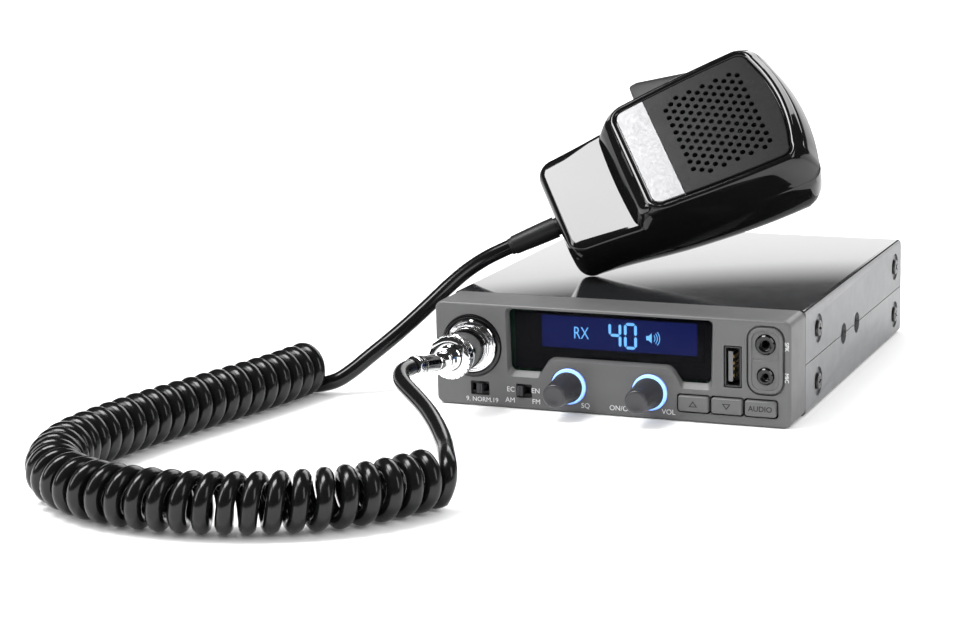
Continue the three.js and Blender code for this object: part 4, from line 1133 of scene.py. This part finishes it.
def toothed(mesh, centre, count, y0, y1, radius, depth, width):
    x, z = centre
    notches = []
    for k in range(count):
        turn = 2 * math.pi * k / count
        notch = block((radius - depth, radius + 1), (y0, y1), (-width / 2, width / 2))
        notch.transform(Matrix.Translation((x * mm, 0, z * mm)) @ Matrix.Rotation(turn, 4, "Y"))
        notches.append(notch)
    return carved(mesh, [joined(notches)])


def makePlug():
    axis = plug["axis"]
    ring = turned(axis, [(-87.0, 10.45), (-88.1, 10.5), (-88.3, 10.75), (-88.3, 11.35), (-88.15, 11.75),
                         (-87.8, 11.9), (-86.2, 11.9), (-86.2, 10.45)], 96, True)
    addPiece("trimRing", ring, "glossBlack", "body", "gloss_black", ("socket_trim_ring",))
    steps = [
        (-86.2, 10.1), (-88.6, 10.1), (-88.85, 9.9), (-88.9, 9.6), (-88.4, 9.45), (-88.35, 9.3),
        (-88.95, 9.2), (-89.0, 8.9), (-88.6, 8.75), (-88.55, 8.55), (-89.05, 8.45), (-89.1, 8.2),
        (-89.1, 6.6), (-97.0, 6.6), (-97.1, 6.4), (-97.1, 5.1), (-86.6, 5.1), (-86.6, 0),
    ]
    socket = turned(axis, [(-78.3, 0), (-78.3, 8.3), (-86.2, 8.3), *steps], 96)
    addPiece("micSocket", socket, "chrome", "body", "chrome", ("mic_socket",), sharp=30)

    knurled = [(-89.4, 7.0), (-89.4, 7.45), (-89.65, 7.7), (-92.0, 7.7), (-92.15, 7.5), (-92.3, 7.5),
               (-92.45, 7.7), (-103.6, 7.7), (-103.8, 7.5), (-104.0, 7.5), (-104.2, 7.75), (-106.3, 7.8),
               (-106.5, 8.15), (-106.8, 8.4), (-108.9, 8.4), (-109.2, 8.25), (-109.4, 7.9), (-109.4, 5.1),
               (-106.4, 5.1), (-106.4, 7.0)]
    collar = turned(axis, knurled, 96, True)
    collar = toothed(collar, axis, 24, -109.6, -106.9, 8.4, 0.42, 0.55)
    collar = addPiece("plugCollar", collar, "chrome", "plug_ring", "chrome", ("coupling_ring",),
                      0.06, 2, 30)

    nose = turned(axis, [(-92.1, 0), (-92.1, 4.8), (-103.1, 4.8), (-103.1, 6.7), (-106.1, 6.7),
                         (-106.1, 4.8), (-109.5, 4.8), (-109.9, 4.75), (-110.2, 4.5), (-110.6, 4.45),
                         (-110.8, 4.65), (-111.6, 4.6), (-111.8, 4.2), (-113.1, 3.75), (-113.4, 3.4),
                         (-113.4, 0)], 72)
    nose = addPiece("plugNose", nose, "chrome", "body", "chrome", ("plug_barrel",), sharp=30)

    tail = [(0, 0), (0, 2.9), (-0.25, 3.2), (-1.6, 3.2), (-1.75, 3.05), (-2.0, 3.05), (-2.15, 3.2),
            (-9.0, 3.2), (-9.2, 3.0), (-9.6, 3.0), (-9.8, 3.2), (-22.8, 3.2), (-23, 3.45), (-23.2, 3.8),
            (-23.5, 3.9), (-24.6, 3.9), (-24.75, 3.4), (-25.2, 3.4), (-25.35, 3.9), (-26.9, 3.9),
            (-27.05, 3.4), (-27.5, 3.4), (-27.65, 3.9), (-29.5, 3.9), (-29.85, 3.7), (-30, 3.4), (-30, 0)]
    mesh = turned((0, 0), tail, 72)
    root = Vector((axis[0], plug["tailStart"], axis[1])) * mm
    lean = Matrix.Translation(root) @ Matrix.Rotation(-math.radians(plug["tilt"]), 4, "X")
    clamp = addPiece("cableClamp", mesh, "chrome", "body", "chrome", ("cable_clamp",), sharp=30, place=lean)
    return [nose, collar, clamp]


declareCord(*curlyCord, makePlug())
print("plug turned")


# Covers and screws

def makeCovers():
    refined("top_cover", "lid", "body", "lid", 0.35, 30)
    refined("bottom_cover", "lowerCover", "body", "lower_cover", 0.3, 30)
    refined("chassis_frame", "casting", "body", "casting", 0.25, 30)


def crossBars(arm, ys, half):
    return [block((-arm, arm), ys, (-half, half)), block((-half, half), ys, (-arm, arm))]


def screwMesh(radius, height, arm):
    dome = [
        (0, 0), (0, radius * 0.72), (0.16, radius * 0.92), (height * 0.55, radius), (height, radius),
        (height, 1.4), (height + 3, 1.4), (height + 3, 0),
    ]
    core = turned((0, 0), [(-0.5, 0), (-0.5, 0.95), (height * 0.9, 0.3), (height * 0.9, 0)], 24)
    return carved(turned((0, 0), dome, 48), [*crossBars(arm, (-1, height * 0.75), 0.34), core])


def makeScrews():
    for index in range(1, 9):
        low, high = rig.box(f"case_screw_{index}")
        middle = (low + high) / 2
        right = middle.x > 0
        face = high.x if right else low.x
        outward = Matrix.Rotation(math.radians(90 if right else -90), 4, "Z")
        turn = Matrix.Rotation(math.radians(17 * index), 4, "Y")
        place = Matrix.Translation((face, middle.y, middle.z)) @ (outward @ turn)
        addPiece(f"caseScrew{index}", screwMesh(3.2, 1.2, 1.9), "blackSteel", "body", "steel",
                 (f"case_screw_{index}",), 0.06, 2, 34, place)


makeCovers()
makeScrews()


# Rear sockets

def makeRear():
    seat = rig.box("antenna_socket")[0].y / mm + 3.3
    x, z = -44, 21
    flange = prism(roundedBox(x, z, 22, 22, 2.4), seat, seat + 1.6)
    holes = [rodMesh((x + a * 8.6, z + b * 8.6), seat - 1, seat + 3, 1.35, 24) for a in (-1, 1)
             for b in (-1, 1)]
    addPiece("antennaFlange", carved(flange, holes), "chrome", "body", "chrome", ("antenna_socket",), 0.12)
    thread, y = [(seat - 3.3, 0), (seat - 3.3, 6.5), (seat + 1.6, 6.5), (seat + 1.6, 7.6)], seat + 2.2
    while y < seat + 15.0:
        thread += [(y, 7.35), (y + 0.35, 8.0), (y + 0.55, 8.0), (y + 0.9, 7.35)]
        y += 1.06
    thread += [(seat + 15.6, 7.35), (seat + 16, 7.0), (seat + 16, 6.0), (seat + 2.7, 6.0), (seat + 2.7, 0)]
    addPiece("antennaBarrel", turned((x, z), thread, 72), "chrome", "body", "chrome", sharp=30)
    pin = turned((x, z), [(seat + 2.6, 2.6), (seat + 13, 2.6), (seat + 13, 1.7), (seat + 6, 1.7),
                          (seat + 6, 0), (seat + 2.6, 0)], 40)
    addPiece("antennaContact", pin, "brass", "body", "chrome")
    collar = turned((44, z), [
        (seat - 5.3, 3.4), (seat - 5.3, 4.5), (seat, 4.5), (seat, 6.5), (seat + 2.2, 6.4),
        (seat + 2.9, 5.7), (seat + 3, 4.6), (seat + 2.6, 3.6), (seat + 2, 3.4),
    ], 64, True)
    addPiece("cordGrommet", collar, "softBlack", "body", "soft_black", ("power_cord_grommet",))
    jack = turned((0, z), [
        (seat - 9.3, 0), (seat - 9.3, 3.5), (seat, 3.5), (seat, 5), (seat + 1.4, 5), (seat + 2, 4.5),
        (seat + 2, 2.3), (seat + 1.6, 1.8), (seat - 8.3, 1.8), (seat - 8.3, 0),
    ], 56)
    addPiece("rearJack", jack, "glossBlack", "body", "soft_black", ("rear_speaker_jack",), sharp=30)


makeRear()
print("case finished")


# Microphone, drawn in its own frame: x to its right, y up, z out of the grille

mic = {
    "origin": (-39.111231421120074, -40.034147075636554, 74.67517350156088),
    "azimuth": 24.2,
    "elevation": 22.2,
    "twist": 46.2,
    "foot": -3,
    "top": 100,
    "seam": -15,
    "neckFace": -9.3,
    "back": -38.8,
    "headBottom": 31.5,
    "headTop": 94,
    "corner": 7,
    "plateInset": 3,
    "labelTop": 47,
    "crown": 3.5,
    "bow": 0.8,
    "gap": 0.3,
}


def micFrame():
    azimuth, elevation, twist = (math.radians(mic[turn]) for turn in ("azimuth", "elevation", "twist"))
    up = Vector((math.cos(azimuth) * math.cos(elevation), math.sin(azimuth) * math.cos(elevation),
                 math.sin(elevation)))
    level = Vector((math.sin(azimuth), -math.cos(azimuth), 0))
    facing = level * math.cos(twist) + level.cross(up).normalized() * math.sin(twist)
    turn = Matrix((up.cross(facing), up, facing)).transposed().to_4x4()
    return Matrix.Translation(Vector(mic["origin"]) * mm) @ turn


micPlace = micFrame()


def lerp(a, b, share):
    return a + (b - a) * share


def eased(share):
    t = min(1, max(0, share))
    return t * t * (3 - 2 * t)


def micHalf(y):
    return lerp(24, 32.5, eased((y + 10) / 95))


def headHalf(y):
    share = (y - mic["headBottom"]) / (mic["headTop"] - mic["headBottom"])
    return lerp(26.3, 29.6, share) + mic["bow"] * (1 - (2 * share - 1) ** 2)


# Half-widths drawn in by a margin, for the whole microphone and for its head
def shrunk(by):
    return lambda y: micHalf(y) - by


def headShrunk(by):
    return lambda y: headHalf(y) - by


def leverSlot():
    return slabOf([(-46.2, 43.6), (-19, 43.6), (-19, 79.9), (-46.2, 79.9)], -24.3, -10.7)


# One rounded outline of the microphone, as points in its own frame
def micRing(half, low, high, depth, radius, arcs=7, sides=12):
    ring = []

    def put(x, y):
        ring.append((x, y, depth(y) if callable(depth) else depth))

    def corner(side, y, start):
        for k in range(arcs + 1):
            turn = start + math.pi / 2 * k / arcs
            put(side * (half(y) - radius) + radius * math.cos(turn), y + radius * math.sin(turn))

    def flank(side, start, end):
        for k in range(1, sides):
            y = lerp(start, end, k / sides)
            put(side * half(y), y)

    def level(side, y, crown):
        for k in range(1, sides):
            share = side * (1 - 2 * k / sides)
            put((half(y) - radius) * share, y + side * radius + crown * (1 - share * share))

    corner(1, low + radius, -math.pi / 2)
    flank(1, low + radius, high - radius)
    corner(1, high - radius, 0)
    level(1, high - radius, mic["crown"])
    corner(-1, high - radius, math.pi / 2)
    flank(-1, high - radius, low + radius)
    corner(-1, low + radius, math.pi)
    level(-1, low + radius, 0)
    return ring


def backDepth(share):
    def depth(y):
        thinning = lerp(0.84, 1, eased(y / 45))
        return mic["seam"] - mic["gap"] + (mic["back"] - mic["seam"]) * share * thinning
    return depth


def micPiece(name, mesh, finish, slot, stands=(), bevel=0, sharp=38, body="microphone", segments=2):
    return addPiece(name, mesh, finish, body, slot, stands, bevel, segments, sharp, micPlace)


def grilleHoles():
    holes = []
    pitch, step = 3.9, 2.84
    for row in range(12):
        y = 53.9 + row * step
        reach = 18.8 if row in (0, 11) else 20.6
        for column in range(-6, 7):
            x = (column + (0.5 if row % 2 else 0)) * pitch
            if abs(x) < reach:
                holes.append((x, y))
    return holes


# A skin through outlines of the face plates, by steps of (growth, z)
def plateLoft(*steps):
    bottom, high, inset, corner = mic["headBottom"], mic["headTop"], mic["plateInset"], mic["corner"]
    rings = []
    for grow, z in steps:
        by = inset - grow
        rings.append(micRing(headShrunk(by), bottom + by, high - by, z, corner - by))
    return lofted(rings)


def micFront():
    foot, top, seam, corner = mic["foot"], mic["top"], mic["seam"], mic["corner"]
    body = []
    for inset, rise, drop, z in (
        (0.25, 0.2, 0.2, seam), (0, 0, 0, seam + 0.45), (0.15, 0.1, 1.6, -13.2), (0.55, 0.5, 3.4, -11.6),
        (1.2, 1.2, 5.2, -10.4), (2.1, 2.1, 6, -9.65), (3.2, 3.2, 6.6, mic["neckFace"]),
    ):
        body.append(micRing(shrunk(inset), foot + rise, top - drop, z, corner - inset * 0.6))
    lower = lofted(body)
    head = []
    bottom, high = mic["headBottom"], mic["headTop"]
    for k in range(12):
        share = k / 11
        bulge = 0.55 * share + 0.45 * (1 - math.sqrt(1 - share * share))

        def half(y, bulge=bulge):
            return lerp(micHalf(y), headHalf(y) + 0.25, bulge)

        low = lerp(bottom - 8, bottom + 0.25, bulge)
        ring = micRing(half, low, lerp(top, high, bulge), lerp(seam + 0.3, -0.8, share), corner)
        crown = lerp(2.2, 0.3, share)
        head.append([(x, y - crown * max(0, 1 - (x / 28) ** 2) * min(1, max(0, (40 - y) / 8)), z)
                     for x, y, z in ring])
    for inset, z in ((0.2, -0.35), (0.6, -0.12), (1.15, 0)):
        head.append(micRing(headShrunk(inset), bottom + inset, high - inset, z, corner - inset))
    shell = carved(lower, [lofted(head)], "UNION")
    recess = plateLoft((0.3, -1.8), (0.3, -1.0), (0.55, -0.55), (1.0, -0.22), (1.7, 0), (1.8, 1))
    hollow = lofted([micRing(shrunk(2), foot + 2, top - 6, z, corner - 2) for z in (seam - 1, -11.3)])
    upper = lofted([micRing(headShrunk(2.2), bottom + 2.5, high - 2.2, z, corner - 2)
                    for z in (seam - 1, -3.2)])
    sound = postMesh(0, 66, -8, 0, 13)
    shell = carved(shell, [hollow, upper, recess, sound, leverSlot()])
    micPiece("micFrontShell", shell, "glossBlack", "gloss_black", ("mic_front_shell",), 0.3, 32, segments=3)


def postMesh(x, y, z0, z1, radius, sides=48, top=None):
    rings = []
    for z, r in ((z0, radius), (z1, top or radius)):
        rings.append([(x + r * math.cos(2 * math.pi * k / sides),
                       y + r * math.sin(2 * math.pi * k / sides), z) for k in range(sides)])
    return lofted(rings)


def micBack():
    foot, top, corner = mic["foot"], mic["top"], mic["corner"]
    profile = [(10.5, 7.0, 12.5, 1.0), (7, 4, 9, 0.995), (4.6, 2.1, 5.8, 0.955), (3, 1, 3.6, 0.86),
               (1.8, 0.55, 2.1, 0.72), (0.8, 0.2, 0.8, 0.5), (0.2, 0.05, 0.2, 0.2), (0, 0, 0, 0.03),
               (0.3, 0.25, 0.3, 0)]
    outer = lofted([micRing(shrunk(a), foot + b, top - c, backDepth(share), max(2, corner - a * 0.2))
                    for a, b, c, share in profile])
    inner = lofted([micRing(shrunk(a + 2), foot + b + 2, top - c - 2, depth, corner - 2)
                    for a, b, c, depth in ((7, 4, 9, backDepth(0.9)), (0.8, 0.2, 0.8, backDepth(0.5)),
                                           (0, 0, 0, mic["seam"] + 1))])
    relief = turned((0, -21), [(-6, 0), (-6, 3.9), (2.3, 3.9), (2.3, 0)], 48)
    seats = [postMesh(x, y, mic["back"] - 2, backDepth(1)(y) + 1.4, 2.6, 40) for x, y in ((0, 14), (0, 84))]
    stud = postMesh(0, 55, -42, -35.5, 2.2, 32)
    ribs = [slabOf(roundedBox(0, y, 34, 1.1, 0.5), -40, backDepth(1)(y) + 0.45)
            for y in (26, 29.5, 33, 36.5)]
    shell = carved(outer, [inner, leverSlot(), relief, *seats, stud, *ribs])
    micPiece("micBackShell", shell, "glossBlack", "gloss_black", ("mic_back_shell",), 0.2, 32)


def micPlates():
    def plate(z0, z1):
        return plateLoft((0, z0), (0, z1 - 0.25), (-0.25, z1))

    split = mic["labelTop"]
    below = slabOf([(-40, 0), (40, 0), (40, split + 0.15), (-40, split + 0.15)], -5, 5)
    above = slabOf([(-40, split), (40, split), (40, 120), (-40, 120)], -5, 5)
    drills = [postMesh(x, y, -4, 1, 1.02, 14) for x, y in grilleHoles()]
    face = carved(carved(plate(-1.5, -0.3), [below]), [joined(drills)])
    micPiece("grillePlate", face, "grille", "soft_black", ("mic_grille_plate",), 0.12, 40)
    strip = carved(plate(-1.5, -0.25), [above])
    micPiece("labelStrip", strip, "label", "label", ("mic_label_plate",), 0.1, 40)


def micDetails():
    reach, low, high = 43.2, 45, 79
    outline = [(-25, low, 0.5), (-reach + 0.4, low, 1.4), (-reach, low + 3.5, 2.0),
               (-35.5, high - 2.2, 2.2), (-33, high, 0.8), (-25, high, 0.5)]
    corners = roundedOutline(outline, 6)
    rings = []
    for inset, z in ((0.9, -24), (0.35, -23.75), (0.05, -23.2), (0, -22.4), (0, -12.6), (0.05, -11.8),
                     (0.35, -11.25), (0.9, -11)):
        rings.append([(min(x + inset, -25),
                       y if abs(x + 25) < 0.1 else y + (inset if y < 62 else -inset) * 0.5, z)
                      for x, y in corners])
    lever = lofted(rings)
    pad = slabOf([(-26, low + 8), (-22.5, low + 8), (-22.5, high - 8), (-26, high - 8)], -21, -14)
    lever = carved(lever, [pad], "UNION")
    micPiece("talkLever", lever, "softBlack", "soft_black", ("ptt_button",), 0.15, 32, "ptt")

    profile = [(2, 0), (2, 3.6), (-4, 3.6), (-4, 4.3), (-10, 4.22), (-16, 4.05), (-21.6, 3.85),
               (-22.4, 3.7), (-22.7, 3.4), (-23.6, 3.35), (-24, 3.15), (-24, 3.06), (-22.8, 3.06),
               (-22.8, 0)]
    relief = turned((0, -21), profile, 56)
    micPiece("strainRelief", relief, "softBlack", "soft_black", ("mic_strain_relief",), sharp=30)

    back = mic["back"]
    stud = [(back - 7, 0), (back - 7, 3.6), (back - 6.6, 4.9), (back - 6.1, 5.5), (back - 5.4, 5.5),
            (back - 5, 5.2), (back - 5, 1.8), (-35.0, 1.8), (-35.0, 0)]
    mesh = turned((0, 0), stud, 64)
    mesh.transform(Matrix.Translation((0, 55 * mm, 0)) @ Matrix.Rotation(math.radians(90), 4, "X"))
    micPiece("hangStud", mesh, "steel", "steel", ("hang_stud",), sharp=30)
    for index, y in enumerate((14, 84)):
        seat = backDepth(1)(y) + 1.1
        head = turned((0, 0), [(seat - 1.2, 0), (seat - 1.2, 1.5), (seat - 0.9, 2.05), (seat - 0.5, 2.2),
                               (seat, 2.2), (seat, 1.2), (-13, 1.2), (-13, 0)], 40)
        head = carved(head, crossBars(1.4, (seat - 2, seat - 0.5), 0.25))
        head.transform(Matrix.Translation((0, y * mm, 0)) @ Matrix.Rotation(math.radians(90), 4, "X"))
        micPiece(f"micScrew{index + 1}", head, "blackSteel", "steel", (f"mic_screw_{index + 1}",), 0.05, 34)


micFront()
micBack()
micPlates()
micDetails()
print("microphone made")


# Printed marks on the panel: settings and control names only

def panelMarks():
    y = panel["front"] + 0.02
    for name, text, x, z, height in (
        ("channelMark", "9. NORM.19", -51.2, 2.5, 1.8),
        ("echoLeftMark", "EC", -39.4, 7.3, 1.95),
        ("echoRightMark", "EN", -29.3, 7.3, 1.95),
        ("bandLeftMark", "AM", -39.7, 3.1, 1.95),
        ("bandRightMark", "FM", -29.1, 3.1, 1.95),
        ("squelchMark", "SQ", -9.3, 3.0, 1.95),
        ("powerMark", "ON/OFF", 5.2, 3.0, 1.95),
        ("volumeMark", "VOL", 23.4, 3.0, 1.95),
    ):
        lettering(name, text, x, z, height, "mark", y, depth=0.06)
    for name, text, z in (("speakerMark", "SPK", 30.6), ("micMark", "MIC", 19.0)):
        piece = lettering(name, text, 0, 0, 1.5, "mark", 0, depth=0.06)
        lean = Matrix.Translation((68.4 * mm, y * mm, z * mm)) @ Matrix.Rotation(math.radians(90), 4, "Y")
        piece.data.transform(lean)


panelMarks()


# What stays as packed gets its finish by the material it was given

slotFinish = {
    "panel": "panel", "lid": "lid", "lower_cover": "lowerCover", "casting": "casting",
    "circuit": "circuit", "glass": "smokedPane", "lit": "litField", "halo": "haloGlow",
    "gloss_black": "glossBlack", "soft_black": "softBlack", "knob": "knob", "chrome": "chrome",
    "steel": "steel", "label": "label", "cord": "cord",
}


def finishPacked():
    slots = {part["node"]: part["material_slot"] for part in frame["record"]["subparts"]}
    for name, node in nodes.items():
        node.data.materials.clear()
        node.data.materials.append(finishes[slotFinish[slots[name]]].material)


finishPacked()


# Floor, light and surroundings

studio = {
    "floor": 30,
    "lights": [
        # name, place, aim, width, height, power
        ("overhead", (-0.445, -0.33, 0.92), (-0.09, -0.05, 0.06), 0.37, 0.5, 9.8),
        ("left", (-1.10, -0.75, 0.70), (-0.05, -0.1, 0.03), 0.35, 0.9, 7.0),
        ("right", (1.05, -0.55, 0.75), (0.05, -0.1, 0.03), 0.35, 0.9, 4.0),
        ("back", (0.1, 1.30, 0.92), (0.0, 0.0, 0.05), 1.4, 0.8, 12.0),
    ],
    # where the pale wall behind stops, as a slope, and how bright it is
    "wall": (0.167, 0.194, 1.25),
    "ceiling": 0.03,
    "fill": 1.2,
}


def makeStudio():
    size = studio["floor"]
    mesh = bpy.data.meshes.new("floor")
    mesh.from_pydata([(-size, -size, 0), (size, -size, 0), (size, size, 0), (-size, size, 0)], [],
                     [(0, 1, 2, 3)])
    floor = bpy.data.objects.new("floor", mesh)
    floor.location.z = -0.0002
    scene.collection.objects.link(floor)
    finish = surfaceFinish("studioFloor", (0.88, 0.88, 0.88), 0.6, grain=(300, 0.02, 0.02), mottle=0.01,
                           Specular_IOR_Level=0)
    mesh.materials.append(finish.material)
    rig.stage(floor)
    for name, place, aim, width, height, power in studio["lights"]:
        lamp = bpy.data.lights.new(name, "AREA")
        lamp.shape = "RECTANGLE"
        lamp.size, lamp.size_y = width, height
        lamp.energy = power
        holder = bpy.data.objects.new(name, lamp)
        holder.location = place
        holder.rotation_euler = (Vector(aim) - Vector(place)).to_track_quat("-Z", "Y").to_euler()
        holder.visible_camera = False
        scene.collection.objects.link(holder)
    world = bpy.data.worlds.new("studio")
    scene.world = world
    world.use_nodes = True
    tree = world.node_tree
    tree.nodes.clear()
    seen = tree.nodes.new("ShaderNodeLightPath")
    heading = tree.nodes.new("ShaderNodeTexCoord")
    split = tree.nodes.new("ShaderNodeSeparateXYZ")
    tree.links.new(heading.outputs["Generated"], split.inputs[0])
    behind, rise = (Strand(tree, split.outputs[axis]) for axis in (1, 2))
    low, high, bright = studio["wall"]
    fade = (high - rise) / (high - low)
    fade = fade.maths("MAXIMUM", fade, 0)
    fade = fade.maths("MINIMUM", fade, 1)
    mirrored = fade * (behind > 0) * bright + studio["ceiling"]
    pale, soft, mirror = (tree.nodes.new("ShaderNodeBackground") for _ in range(3))
    soft.inputs[1].default_value = studio["fill"]
    for shown in (pale, soft, mirror):
        shown.inputs[0].default_value = (1, 1, 1, 1)
    tree.links.new(mirrored.socket, mirror.inputs[1])
    surface = tree.nodes.new("ShaderNodeOutputWorld")
    given = soft
    for ray, other in (("Is Glossy Ray", mirror), ("Is Camera Ray", pale)):
        shown = tree.nodes.new("ShaderNodeMixShader")
        tree.links.new(seen.outputs[ray], shown.inputs[0])
        tree.links.new(given.outputs[0], shown.inputs[1])
        tree.links.new(other.outputs[0], shown.inputs[2])
        given = shown
    tree.links.new(given.outputs[0], surface.inputs[0])
    scene.view_settings.view_transform = "Standard"


makeStudio()
print("studio lit")

with open("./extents.json", "w") as report:
    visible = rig.bounds()
    json.dump({"cad": [list(corner) for corner in cadBox], "visual": [list(corner) for corner in visible]}, report)
